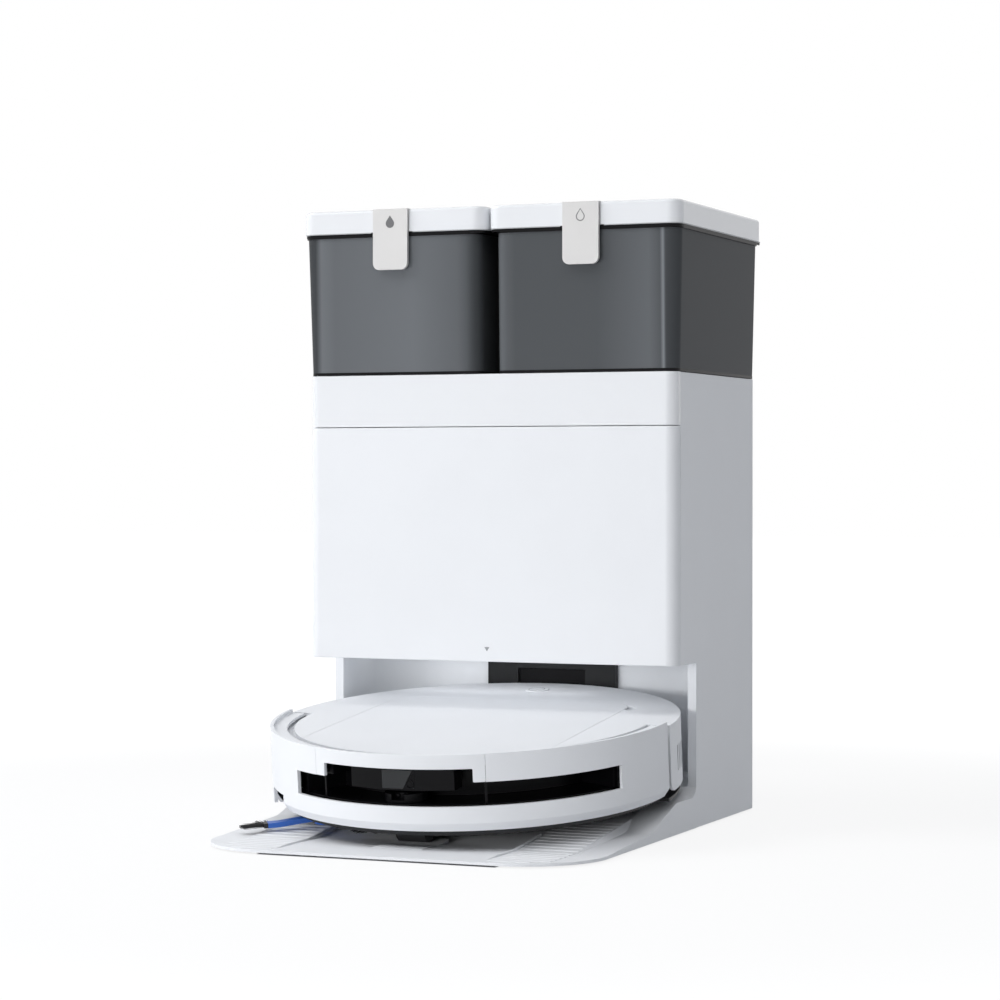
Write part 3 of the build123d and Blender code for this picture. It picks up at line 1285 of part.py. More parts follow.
def dust_bin():
    """Hollow dust bin behind the main brush, with its mouth in front."""
    v = (BIN_FRONT_V, BIN_BACK_V)
    w = (BELLY_TOP_W, BELLY_TOP_W + BIN_H)
    half = BIN_HALF_W
    box = block((-half, half), v, w)
    box -= block((BIN_WALL - half, half - BIN_WALL), (v[0] + BIN_WALL, v[1] - BIN_WALL),
                 (w[0] + BIN_WALL, w[1] - BIN_WALL))
    mouth_w = (w[0] + BIN_MOUTH_LOW, w[0] + BIN_MOUTH_LOW + BIN_MOUTH_H)
    return box - block((-BIN_MOUTH_W / 2, BIN_MOUTH_W / 2), (v[0], v[0] + BIN_WALL), mouth_w)


def fan_motor():
    """Suction fan of the robot, upright behind the dust bin."""
    top = BELLY_TOP_W + FAN_H
    return post(0, FAN_V, (BELLY_TOP_W, top), FAN_R) + post(0, FAN_V, (top, top + FAN_SNOUT_H), FAN_SNOUT_R)


def battery():
    """Battery pack on top of the right mop drive, beside the fan."""
    u = FAN_R + BATTERY_GAP
    v = BIN_BACK_V + BATTERY_GAP
    w = BELLY_TOP_W + MOP_SHAFT_L + MOVE_GAP
    return block((u, u + BATTERY_W), (v, v + BATTERY_L), (w, w + BATTERY_H))


def main_board():
    """Circuit board on top of the main brush housing."""
    low = brush_housing_top()
    half_w = ROBOT_BOARD_W / 2
    half_l = ROBOT_BOARD_L / 2
    return block((-half_w, half_w), (BRUSH_V - half_l, BRUSH_V + half_l), (low, low + ROBOT_BOARD_T))


def add_robot():
    """All pieces of the robot."""
    single = [chassis, rear_shell, top_shell, top_cover, start_button, bumper, sensor_hood, sensor_bay,
              camera_block, lidar_turret, caster_fork, caster_wheel, main_brush, brush_guard, side_brush,
              side_brush_bristles, dust_bin, fan_motor, battery, main_board]
    for piece in single:
        robot(piece.__name__, piece())
    for piece in (wheel_arm, drive_wheel, mop_holder, mop_pad):
        robot(piece.__name__ + "_right", piece())
        robot(piece.__name__ + "_left", mirror_x(piece()))


def main():
    """Build every piece and write it to its own file."""
    add_station()
    add_robot()
    os.makedirs("parts", exist_ok=True)
    for name, piece in PIECES.items():
        export_step(piece, f"parts/{name}.step")


if __name__ == "__main__":
    main()
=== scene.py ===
"""Looks of a robot vacuum docked in its cleaning station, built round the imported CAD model.

The scene is in metres, in the CAD frame: X to the right, Y to the back, Z up, floor at zero.
Small pieces are drawn in millimetres and scaled down as they are made.
"""
import bpy
import bmesh
import json
import math
import random
from mathutils import Matrix, Vector, geometry


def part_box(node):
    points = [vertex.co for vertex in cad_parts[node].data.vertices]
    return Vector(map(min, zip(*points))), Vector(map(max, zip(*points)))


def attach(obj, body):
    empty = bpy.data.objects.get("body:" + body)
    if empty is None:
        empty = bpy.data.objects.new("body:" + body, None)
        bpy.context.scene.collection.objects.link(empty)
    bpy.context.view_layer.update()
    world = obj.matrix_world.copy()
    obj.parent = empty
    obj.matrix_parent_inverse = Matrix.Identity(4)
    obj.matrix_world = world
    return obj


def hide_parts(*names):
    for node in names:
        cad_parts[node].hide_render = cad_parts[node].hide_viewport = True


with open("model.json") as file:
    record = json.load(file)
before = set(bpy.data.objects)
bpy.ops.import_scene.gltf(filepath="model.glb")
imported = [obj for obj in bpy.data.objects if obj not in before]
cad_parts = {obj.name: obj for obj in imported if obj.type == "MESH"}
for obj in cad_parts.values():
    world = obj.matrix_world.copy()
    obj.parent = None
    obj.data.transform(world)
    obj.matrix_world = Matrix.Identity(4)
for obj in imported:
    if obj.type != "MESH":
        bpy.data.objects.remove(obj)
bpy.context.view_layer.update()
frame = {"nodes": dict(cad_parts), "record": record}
NODES = frame["nodes"]
MM = 0.001
SIDES = (-1, 1)
FACING_FRONT = Matrix.Rotation(math.pi / 2, 4, "X")
FACING_DOWN = Matrix.Rotation(math.pi, 4, "X")

# Camera of the photograph
CAMERA_PLACE = (0.96395, -2.2889, 0.30397)
CAMERA_YAW = 22.53
CAMERA_PITCH = -0.43
CAMERA_LENS = 103.0
SENSOR_W = 36.0

# Studio, in metres
WORLD_LIGHT = 0.54
WORLD_DIM = 0.1
WORLD_TINT = (0.94, 0.96, 1.0, 1)
DIM_SIDE = (0.45, -0.89, 0.0)
DIM_START = 0.1
FLOOR_COLOUR = (0.72, 0.73, 0.745, 1)
FLOOR_ROUGH = 0.9
FLOOR_GLOW = 0.78
FLOOR_WHITE = 1.08
FLOOR_FADE = (0.6, 1.3)
FLOOR_CORNERS = ((-12, -12), (12, 12))
PATCH_RISE = 0.0001
STATION_PATCH = ((-0.150, -0.160), (0.150, 0.2285))
LIP_PATCH = ((-0.105, -0.2285), (0.105, -0.160))

# Lamps: place, target, width and height, watts, and whether gloss shows them
LAMPS = {
    "left_key": ((-2.1, -1.0, 2.2), (0, 0, 0.25), (1.6, 1.6), 41, True),
    "front_fill": ((-0.9, -2.9, 0.24), (0, 0, 0.2), (1.8, 0.48), 36, False),
    "top_fill": ((0.7, -1.0, 2.6), (0.1, -0.15, 0), (1.2, 1.2), 12, False),
    "bay_light": ((0, 0.06, 0.1445), (0, 0.075, 0.08), (0.3, 0.08), 0.04, False),
    "bay_wall_light": ((-0.04, 0.085, 0.137), (-0.04, 0.164, 0.15), (0.2, 0.012), 0.022, False),
}

# Robot on its ramp
RAMP_ANGLE = math.radians(6.16)
RAMP_SLOPE = math.tan(RAMP_ANGLE)
ROBOT_PLACE = Vector((0, -0.012, 0.0202))
ROBOT = Matrix.Translation(ROBOT_PLACE) @ Matrix.Rotation(RAMP_ANGLE, 4, "X")

# Edge rounding of the CAD nodes: width in metres, and segments
EDGE_ANGLE = math.radians(32)
EDGE_WIDTH = 0.0006
EDGE_SEGMENTS = 2
EDGES = {
    "bumper": (0.0012, 3),
    "front_cover": (0.001, 3),
    "clean_latch": (0.0012, 3),
    "dirty_latch": (0.0012, 3),
    "top_cover": (0.0003, 2),
    "top_shell": (0.0004, 2),
}
WELD = 0.00002

# Texture of moulded pieces
DRIFT_SCALE = 14
DRIFT_DETAIL = 3
SKIN_DETAIL = 2
SKIN_DEPTH = 0.0002
GLOSS_SPREAD = 0.15
TONE_BAND = (0.35, 0.65)

# Smoke-grey wall of the tanks
SMOKE_TINT = (0.94, 1.0, 1.07)
SMOKE_ROUGH = (0.26, 0.34)
SMOKE_GRAIN = 700
SMOKE_CLEAR = 0.03
SMOKE_SHINE = 0.02

# Marks, in millimetres
DROP_SIZE = (8.0, 11.0)
DROP_LINE = 0.8
DROP_Z = 528.2
DROP_DEPTH = (-0.1, 0.12)
DROP_STEPS = 28
ARROW = [(0, -2.0), (2.4, 1.8), (-2.4, 1.8)]
ARROW_X = -0.6
ARROW_Z = 155.5
ARROW_DEPTH = (-0.1, 0.08)

# Strips on the tanks and lids, in millimetres
SLICE = 0.2
SHORTEST_SIDE = 0.01
GASKET_OUT = 0.2
GASKET_W = 1.2
GASKET_H = 2.4
LIP_W = 1.2
LIP_CORNER = 14.0
LIP_CLEAR = 1.5
LIP_INSET = 0.5
LIP_HEIGHTS = (-0.8, 0.1)
SEAL_INSET = 0.9
SEAL_HEIGHTS = (-3.0, -0.7)

# Base of the station, in millimetres
RAMP_FOOT_Y = -159.3
LIP_Z = 4.0
TOE_X = 103.0
TOE_Y = -160.5
TOE_R = 65.0
TRACK_IN_X = 94.5
TRACK_OUT_X = 144.5
TRACK_FRONT_Y = -219.0
TRACK_STEP = 4.0
RIB_COUNT = 18
RIB_PITCH = 10.0
RIB_SHORTEST = 5.0
RIB_SECTION = [(-2.2, -0.05), (2.2, -0.05), (1.6, 0.4), (-1.6, 0.4)]
BED_COUNT = 46
BED_NARROWEST = 0.5
BED_HEIGHTS = (-0.05, 0.03)
RIDGE_FRONT_Y = -222.0
RIDGE_COUNT = 31
RIDGE_H = 1.5
RIDGE_RAMP_STEPS = 6
RIDGE_FOOT = (91.0, 94.0)
RIDGE_TOP = (91.6, 93.4)
RIDGE_SINK = 0.1
CASTER_PLATE = [(-23, -184), (23, -184), (23, -157), (-23, -157)]
CASTER_PLATE_HEIGHTS = (-0.05, 0.9)
CASTER_PLATE_SLANT = 3
RECESS_HALF_W = 33.0
RECESS_H = 29.0
RECESS_BACK = 4.0
PANE_GAP = 0.4
PANE_DEPTH = (-0.1, 0.6)
PANE_SLANT = 0.3

# Small pieces of the robot, in millimetres of its own frame and in degrees from its front
NOTCH_WALL = ((166.5, 168.5), (-66, -41), (17.6, 36.0))
NOTCH_ROOF = ((166.5, 173.0), (-58.5, -44), (32.0, 33.8))
NOTCH_STEPS = 12
CHARGE_BEARINGS = (175.45, 184.55)
CHARGE_HALF = 2.2
CHARGE_RADII = (175.6, 176.75)
CHARGE_HEIGHTS = (32.0, 46.0)
CHARGE_STEPS = 6
LENS_DOME = [(2.3, -0.4), (2.3, 0.3), (2.1, 0.9), (1.6, 1.5), (0.9, 1.9), (0.02, 2.05)]
LENS_X = 3.2
LENS_PLACE = (-157.75, 43.3)
LENS_STEPS = 20
CAMERA_FACE_Y = -163.0
CAMERA_FACET = [(-14.5, 50.0), (4.0, 50.0), (12.5, 65.5), (-14.5, 65.5)]
CAMERA_FACET_DEPTH = (-0.1, 0.5)
CAMERA_FACET_SLANT = 0.3
CAMERA_PANE = [(5.2, 50.0), (14.5, 50.0), (14.5, 65.5), (13.7, 65.5)]
CAMERA_PANE_DEPTH = (-0.1, 0.35)
CAMERA_PANE_SLANT = 0.2
CAMERA_LENS_RING = [(3.4, -0.1), (3.4, 0.9), (2.9, 1.1), (2.6, 0.7), (1.5, 0.95), (0.02, 1.1)]
CAMERA_LENS_PLACE = (10.4, 54.5)
CAMERA_LENS_STEPS = 28
BUTTON_PLACE = (0, 143.0, 77.8)
BUTTON_RING_R = 7.6
BUTTON_RING_W = 0.7
BUTTON_RING_DEPTH = (-0.05, 0.08)
BUTTON_RING_STEPS = 48
BELLY_Z = 12.0
SCREW = [(3.4, -0.1), (3.4, 0.35), (2.9, 0.7), (1.5, 0.7), (1.3, 0.2), (0.02, 0.2)]
SCREW_STEPS = 20
SCREW_PLACES = [(-150, 30), (150, 30), (-30, 155), (30, 155), (-60, -140), (60, -140), (-95, -25), (95, -25)]
EYE = [(7.5, -0.1), (7.5, 0.5), (6.8, 0.9), (6.0, 0.9), (5.6, 0.4), (3.0, 0.75), (0.02, 0.85)]
EYE_BEARINGS = (-28, 28, 68, -80)
EYE_R = 152
EYE_STEPS = 28
CAP_X = 125.8
CAP_Z = 32.0
CAP = [(14.5, -0.1), (14.5, 0.8), (13.8, 1.4), (6.5, 1.4), (5.8, 0.9), (3.0, 1.2), (0.02, 1.3)]
CAP_STEPS = 40
CAP_RIB = [(7.0, -0.9), (13.4, -1.3), (13.4, 1.3), (7.0, 0.9)]
CAP_RIB_DEPTH = (1.3, 1.9)
CAP_RIB_SLANT = 0.3
CAP_RIBS = 6

# Fabric: its forms in millimetres, its cells and the reach of its puffing in metres
PRESSURE = 4
CLOTH_STEPS = 20
LEAST_MOVE = 1e-9
BAG_LEVELS = [(3, 15), (10, 8)]
BAG_MIDDLE_INSET = 6
BAG_CORNER = 24
BAG_CELL = 0.005
BAG_PUFF = 0.005
SEAM_INSET = 1.0
SEAM_CORNER = 22
SEAM_W = 6
SEAM_DEPTH = (-0.5, 0.5)
CORNER_STEPS = 6
PAD_X = 66.0
PAD_Y = 88.0
PAD_Z = 0.9
PAD_PROFILE = [(30, 0.9), (58.0, 0.9), (62.0, 1.6), (63.2, 3.6), (62.2, 5.6), (59.0, 6.9), (30, 7.1)]
PAD_STEPS = 96
PAD_CELL = 0.004
PAD_PUFF = 0.0006

# Side brush, in millimetres of the robot's own frame and in degrees
HUB = (-98.005, -98.005)
ARMS = 3
ARM_ANGLE = 215.0
ARM_L = 54.0
ROOT_L = 3.0
ROOT_OUT = 0.4
ROOT_HALF_W = (4.6, 4.2)
ROOT_INSET = 0.05
ROOT_SLANT = 0.4
BRISTLE_LOW_Z = 3.6
BRISTLE_T = 4.2
FANS = ((0.0, 80, 22.0), (-75.0, 50, 17.0))
FAN_SINK = 1.0
STRAND_SEED = 7
STRAND_RADII = (0.2, 0.2, 0.19, 0.17, 0.11)
STRAND_SIDES = 5
STRAND_LAYERS = (0.15, 0.85)
STRAND_SHORTEST = 0.86
STRAND_TAPER = 3.7
STRAND_BEND = 1.4
STRAND_ROOT_SPREAD = 2.7
STRAND_TIP_SPREAD = 4.4
STRAND_FALL = 1.2


def new_material(name):
    """Empty node material with its tree parts at hand."""
    material = bpy.data.materials.new(name)
    material.use_nodes = True
    tree = material.node_tree
    return material, tree.nodes, tree.links, tree.nodes["Principled BSDF"]


def noise(nodes, links, scale, detail):
    """Noise in object space, in cycles a metre."""
    place = nodes.new("ShaderNodeTexCoord")
    texture = nodes.new("ShaderNodeTexNoise")
    texture.inputs["Scale"].default_value = scale
    texture.inputs["Detail"].default_value = detail
    links.new(place.outputs["Object"], texture.inputs["Vector"])
    return texture.outputs["Fac"]


def two_tone(nodes, links, fac, low, high):
    """Colour that runs between two tones."""
    ramp = nodes.new("ShaderNodeValToRGB")
    for element, share, tone in zip(ramp.color_ramp.elements, TONE_BAND, (low, high)):
        element.position = share
        element.color = (*tone, 1)
    links.new(fac, ramp.inputs["Fac"])
    return ramp.outputs["Color"]


def spread(nodes, links, fac, low, high):
    """Number that runs between two limits."""
    span = nodes.new("ShaderNodeMapRange")
    span.inputs["To Min"].default_value = low
    span.inputs["To Max"].default_value = high
    links.new(fac, span.inputs["Value"])
    return span.outputs["Result"]


def bumped(nodes, links, fac, strength, depth, bsdf):
    """Fine relief from a noise."""
    bump = nodes.new("ShaderNodeBump")
    bump.inputs["Strength"].default_value = strength
    bump.inputs["Distance"].default_value = depth
    links.new(fac, bump.inputs["Height"])
    links.new(bump.outputs["Normal"], bsdf.inputs["Normal"])


def moulded(name, colour, rough, vary, grain, relief, **sockets):
    """Moulded plastic, metal or cloth: slight colour drift, grain in its gloss and a fine skin texture."""
    material, nodes, links, bsdf = new_material(name)
    low = tuple(c * (1 - vary) for c in colour)
    drift = noise(nodes, links, DRIFT_SCALE, DRIFT_DETAIL)
    links.new(two_tone(nodes, links, drift, low, colour), bsdf.inputs["Base Color"])
    skin = noise(nodes, links, grain, SKIN_DETAIL)
    gloss = spread(nodes, links, skin, rough * (1 - GLOSS_SPREAD), rough * (1 + GLOSS_SPREAD))
    links.new(gloss, bsdf.inputs["Roughness"])
    bumped(nodes, links, skin, relief, SKIN_DEPTH, bsdf)
    for socket, value in sockets.items():
        bsdf.inputs[socket.replace("_", " ")].default_value = value
    return material


def smoke_with_painted_light(name, span, tones):
    """Smoke-grey tank wall with painted light: its tone changes from one end of its width to the other, with
    painted shade on the side faces and edges, lighter painted highlight bands near the corners and a painted
    reflection across the front.
    """
    material, nodes, links, bsdf = new_material(name)
    place = nodes.new("ShaderNodeTexCoord")
    parts = nodes.new("ShaderNodeSeparateXYZ")
    links.new(place.outputs["Object"], parts.inputs["Vector"])
    width = nodes.new("ShaderNodeMapRange")
    width.inputs["From Min"].default_value = span[0]
    width.inputs["From Max"].default_value = span[1]
    links.new(parts.outputs["X"], width.inputs["Value"])
    ramp = nodes.new("ShaderNodeValToRGB")
    elements = ramp.color_ramp.elements
    while len(elements) < len(tones):
        elements.new(1.0)
    for element, (share, tone) in zip(elements, tones):
        element.position = share
        element.color = (*(tone * tint for tint in SMOKE_TINT), 1)
    links.new(width.outputs["Result"], ramp.inputs["Fac"])
    links.new(ramp.outputs["Color"], bsdf.inputs["Base Color"])
    skin = noise(nodes, links, SMOKE_GRAIN, SKIN_DETAIL)
    links.new(spread(nodes, links, skin, *SMOKE_ROUGH), bsdf.inputs["Roughness"])
    bsdf.inputs["Transmission Weight"].default_value = SMOKE_CLEAR
    bsdf.inputs["Specular IOR Level"].default_value = SMOKE_SHINE
    return material


# Finish of each material slot: colour, roughness, colour drift, grains a metre and relief
MATERIALS = {
    "white_shell": moulded("white_shell", (0.83, 0.845, 0.87), 0.6, 0.012, 2200, 0.05,
                           Specular_IOR_Level=0.3),
    "white_gloss": moulded("white_gloss", (0.8, 0.815, 0.84), 0.12, 0.01, 900, 0.01, Coat_Weight=0.4,
                           Coat_Roughness=0.03),
    "bay_grey": moulded("bay_grey", (0.82, 0.84, 0.87), 0.6, 0.02, 2600, 0.08, Specular_IOR_Level=0.3),
    # Tones across the dirty tank's width are painted light: painted shade on its outer side face and on the
    # inner side seen in the gap, a lighter painted band near its left corner and a painted reflection across
    # the front.
    "smoke_tank": smoke_with_painted_light("smoke_tank", (-0.165, -0.0075),
                         ((0.0, 0.06), (0.035, 0.17), (0.12, 0.145), (0.6, 0.17), (0.87, 0.13),
                          (0.97, 0.07))),
    "black_rim": moulded("black_rim", (0.006, 0.006, 0.007), 0.35, 0.2, 2000, 0.05, Specular_IOR_Level=0.12),
    "latch_grey": moulded("latch_grey", (0.70, 0.69, 0.68), 0.42, 0.02, 2600, 0.06),
    "black_plastic": moulded("black_plastic", (0.005, 0.005, 0.006), 0.3, 0.3, 1500, 0.05,
                             Specular_IOR_Level=0.12),
    "dark_grey": moulded("dark_grey", (0.022, 0.023, 0.025), 0.5, 0.15, 2200, 0.12, Specular_IOR_Level=0.3),
    "rubber": moulded("rubber", (0.022, 0.022, 0.024), 0.7, 0.2, 2400, 0.2),
    "tyre": moulded("tyre", (0.028, 0.028, 0.03), 0.75, 0.25, 2600, 0.3),
    "brush_blue": moulded("brush_blue", (0.03, 0.13, 0.52), 0.4, 0.1, 2000, 0.08),
    "bristle": moulded("bristle", (0.01, 0.01, 0.011), 0.45, 0.3, 4000, 0.1),
    "mop_cloth": moulded("mop_cloth", (0.30, 0.32, 0.35), 0.95, 0.35, 900, 0.6, Sheen_Weight=0.4),
    "bag_cloth": moulded("bag_cloth", (0.78, 0.77, 0.72), 0.9, 0.08, 1600, 0.5, Sheen_Weight=0.2),
    "steel": moulded("steel", (0.55, 0.55, 0.56), 0.28, 0.05, 2500, 0.08, Metallic=1.0),
    "contact": moulded("contact", (0.75, 0.55, 0.24), 0.22, 0.06, 2500, 0.05, Metallic=1.0),
    "board": moulded("board", (0.015, 0.11, 0.045), 0.4, 0.2, 900, 0.1),
}

# Finish of the nodes that differ from their slot
FINISHES = {
    # Tones across the clean tank's width are painted light: painted shade on both side faces, a lighter
    # painted band at its left edge, a painted highlight strip near its right-hand corner and a painted
    # reflection across the front.
    "clean_tank": smoke_with_painted_light("smoke_tank_clean_painted_light", (0.0075, 0.165),
                         ((0.0, 0.06), (0.03, 0.13), (0.12, 0.092), (0.6, 0.095), (0.9, 0.14), (0.965, 0.1),
                          (0.982, 0.24), (0.993, 0.09), (1.0, 0.075))),
    "beacon_window": moulded("beacon_grey", (0.011, 0.0115, 0.0125), 0.4, 0.1, 2000, 0.05,
                             Specular_IOR_Level=0.3),
}


def edge_group():
    """Node group that welds a CAD mesh and keeps only its real edges sharp."""
    group = bpy.data.node_groups.new("real_edges", "GeometryNodeTree")
    group.interface.new_socket("Geometry", in_out="INPUT", socket_type="NodeSocketGeometry")
    group.interface.new_socket("Geometry", in_out="OUTPUT", socket_type="NodeSocketGeometry")
    nodes = group.nodes
    links = group.links
    start = nodes.new("NodeGroupInput")
    end = nodes.new("NodeGroupOutput")
    weld = nodes.new("GeometryNodeMergeByDistance")
    weld.inputs["Distance"].default_value = WELD
    angle = nodes.new("GeometryNodeInputMeshEdgeAngle")
    sharp = nodes.new("FunctionNodeCompare")
    sharp.operation = "GREATER_THAN"
    sharp.inputs["B"].default_value = EDGE_ANGLE
    normal = nodes.new("GeometryNodeSetMeshNormal")
    normal.inputs["Remove Custom"].default_value = True
    links.new(start.outputs["Geometry"], weld.inputs["Geometry"])
    links.new(weld.outputs["Geometry"], normal.inputs["Mesh"])
    links.new(angle.outputs["Unsigned Angle"], sharp.inputs["A"])
    links.new(sharp.outputs["Result"], normal.inputs["Edge Sharpness"])
    links.new(normal.outputs["Mesh"], end.inputs["Geometry"])
    return group


REAL_EDGES = edge_group()


def real_edges(obj, name):
    """Smooth shading up to the real edges."""
    modifier = obj.modifiers.new(name, "NODES")
    modifier.node_group = REAL_EDGES


def soften(obj, width=EDGE_WIDTH, segments=EDGE_SEGMENTS):
    """Round the edges of a node a little, as moulded parts have them, and keep its flat faces flat."""
    real_edges(obj, "weld")
    bevel = obj.modifiers.new("edges", "BEVEL")
    bevel.width = width
    bevel.segments = segments
    bevel.limit_method = "ANGLE"
    bevel.angle_limit = EDGE_ANGLE
    bevel.use_clamp_overlap = True
    bevel.harden_normals = True
    real_edges(obj, "shade")
    flat = obj.modifiers.new("flat", "WEIGHTED_NORMAL")
    flat.mode = "FACE_AREA_WITH_ANGLE"
    flat.keep_sharp = True


def dress_nodes():
    """Give every CAD node its finish and soft edges."""
    for row in frame["record"]["subparts"]:
        node = NODES[row["node"]]
        node.data.materials.clear()
        node.data.materials.append(FINISHES.get(row["node"], MATERIALS[row["material_slot"]]))
        soften(node, *EDGES.get(row["node"], ()))


def at(x, y, z):
    """Move to a place in the robot's or the station's own millimetres."""
    return Matrix.Translation(Vector((x, y, z)) * MM)


def in_mm(box):
    """Low and high corner of a box, in millimetres."""
    return [Vector(corner) / MM for corner in box]


def circle(radius, steps):
    """Anticlockwise round outline."""
    angles = [2 * math.pi * k / steps for k in range(steps)]
    return [(radius * math.cos(a), radius * math.sin(a)) for a in angles]


class Form:
    """Mesh gathered from swept shapes; sizes come in millimetres."""

    def __init__(self):
        self.mesh = bmesh.new()

    def ring(self, points, place):
        """Points of one cross section."""
        return [self.mesh.verts.new(place @ (Vector(point) * MM)) for point in points]

    def skin(self, rings, caps=True):
        """Faces from each cross section to the next."""
        for low, high in zip(rings, rings[1:]):
            count = len(low)
            for k in range(count):
                self.mesh.faces.new((low[k], low[(k + 1) % count], high[(k + 1) % count], high[k]))
        if caps:
            self.mesh.faces.new(tuple(reversed(rings[0])))
            self.mesh.faces.new(tuple(rings[-1]))

    def prism(self, outline, heights, place, inset=0.0):
        """Plate over a flat outline, with a slanted edge at its top if an inset is given."""
        levels = [(outline, heights[0])]
        if inset:
            levels.append((outline, heights[1] - inset))
        levels.append((grown(outline, -inset), heights[1]))
        self.skin([self.ring([(x, y, z) for x, y in line], place) for line, z in levels])

    def frame(self, outer, inner, heights, place):
        """Plate with a hole: closed band between two outlines of as many points."""
        corners = [(outer, heights[0]), (outer, heights[1]), (inner, heights[1]), (inner, heights[0])]
        rings = [self.ring([(x, y, z) for x, y in line], place) for line, z in corners]
        self.skin(rings + rings[:1], caps=False)

    def lathe(self, profile, steps, place):
        """Turned shape round its own Z axis."""
        turn = circle(1.0, steps)
        self.skin([self.ring([(r * c, r * s, z) for c, s in turn], place) for r, z in profile])

    def tube(self, points, radii, sides, place):
        """Strand of changing thickness through a few points."""
        rings = []
        for k, point in enumerate(points):
            ahead = Vector(points[min(k + 1, len(points) - 1)]) - Vector(points[max(k - 1, 0)])
            turn = ahead.to_track_quat("Z", "X").to_matrix()
            loop = [turn @ (Vector((x, y, 0)) * radii[k]) for x, y in circle(1.0, sides)]
            rings.append(self.ring([Vector(point) + step for step in loop], place))
        self.skin(rings)

    def piece(self, name, slot, body, material=None):
        """Object of this mesh with its finish, riding on a body."""
        bmesh.ops.recalc_face_normals(self.mesh, faces=self.mesh.faces)
        mesh = bpy.data.meshes.new(name)
        self.mesh.to_mesh(mesh)
        self.mesh.free()
        mesh.materials.append(material or MATERIALS[slot])
        mesh.shade_smooth()
        mesh.set_sharp_from_angle(angle=EDGE_ANGLE)
        obj = bpy.data.objects.new(name, mesh)
        bpy.context.scene.collection.objects.link(obj)
        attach(obj, body)
        return obj


def grown(outline, reach):
    """Closed outline moved outwards by a reach; it runs anticlockwise."""
    moved = []
    count = len(outline)
    for k in range(count):
        before = Vector(outline[k]) - Vector(outline[k - 1])
        after = Vector(outline[(k + 1) % count]) - Vector(outline[k])
        normal = Vector((before.y, -before.x)).normalized() + Vector((after.y, -after.x)).normalized()
        normal.normalize()
        moved.append(tuple(Vector(outline[k]) + normal * reach))
    return moved


def hull_at(node, z, reach):
    """Outline of a node's corners at a height in metres, moved outwards; the outline is in millimetres."""
    points = [v.co.xy / MM for v in NODES[node].data.vertices if abs(v.co.z - z) < SLICE * MM]
    line = [tuple(points[k]) for k in geometry.convex_hull_2d(points)]
    kept = [p for k, p in enumerate(line) if (Vector(p) - Vector(line[k - 1])).length > SHORTEST_SIDE]
    return grown(kept, reach)


def drop_outline(width, height):
    """Water drop: a round belly under a point."""
    radius = width / 2
    rise = height - 2 * radius
    lean = math.acos(radius / (rise + radius))
    start = math.pi / 2 + lean
    sweep = 2 * math.pi - 2 * lean
    arc = [(start + sweep * k / DROP_STEPS) for k in range(DROP_STEPS + 1)]
    belly = [(radius * math.cos(a), radius * math.sin(a)) for a in arc]
    return [(0, rise + radius)] + belly


def latch_marks():
    """Plain water drop on each latch: filled for used water, open for clean water."""
    for side, colour in (("dirty", (0.16, 0.16, 0.165)), ("clean", (0.2, 0.2, 0.205))):
        low, high = in_mm(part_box(side + "_latch"))
        place = at((low.x + high.x) / 2, low.y, DROP_Z) @ FACING_FRONT
        form = Form()
        outer = drop_outline(*DROP_SIZE)
        if side == "dirty":
            form.prism(outer, DROP_DEPTH, place)
        else:
            form.frame(outer, grown(outer, -DROP_LINE), DROP_DEPTH, place)
        ink = moulded(side + "_drop_ink", colour, 0.5, 0.1, 2600, 0.05)
        form.piece(side + "_drop_mark", "latch_grey", side + "_latch", ink)


def cover_mark():
    """Small grey arrow at the bottom of the front cover."""
    front = in_mm(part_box("front_cover"))[0].y
    form = Form()
    form.prism(ARROW, ARROW_DEPTH, at(ARROW_X, front, ARROW_Z) @ FACING_FRONT)
    ink = moulded("arrow_ink", (0.3, 0.31, 0.32), 0.5, 0.05, 2600, 0.05)
    form.piece("cover_arrow", "white_shell", "front_cover", ink)


def tank_gaskets():
    """Dark sealing strip round the foot of each tank."""
    for side in ("dirty", "clean"):
        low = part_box(side + "_tank")[0][2]
        form = Form()
        outer = hull_at(side + "_tank", low, GASKET_OUT)
        form.frame(outer, grown(outer, -GASKET_W), (low / MM, low / MM + GASKET_H), Matrix())
        form.piece(side + "_tank_gasket", "black_rim", side + "_tank")


def edge_strip(form, path, sign, width, heights):
    """Strip along an edge that turns from a front into a side; the sign is the side its inside lies on."""
    rings = []
    for k, (x, y) in enumerate(path):
        run = k / (len(path) - 1)
        inner = (x + sign * width * run, y + width * (1 - run))
        corners = [((x, y), heights[0]), ((x, y), heights[1]), (inner, heights[1]), (inner, heights[0])]
        rings.append(form.ring([(*place, z) for place, z in corners], Matrix()))
    form.skin(rings)


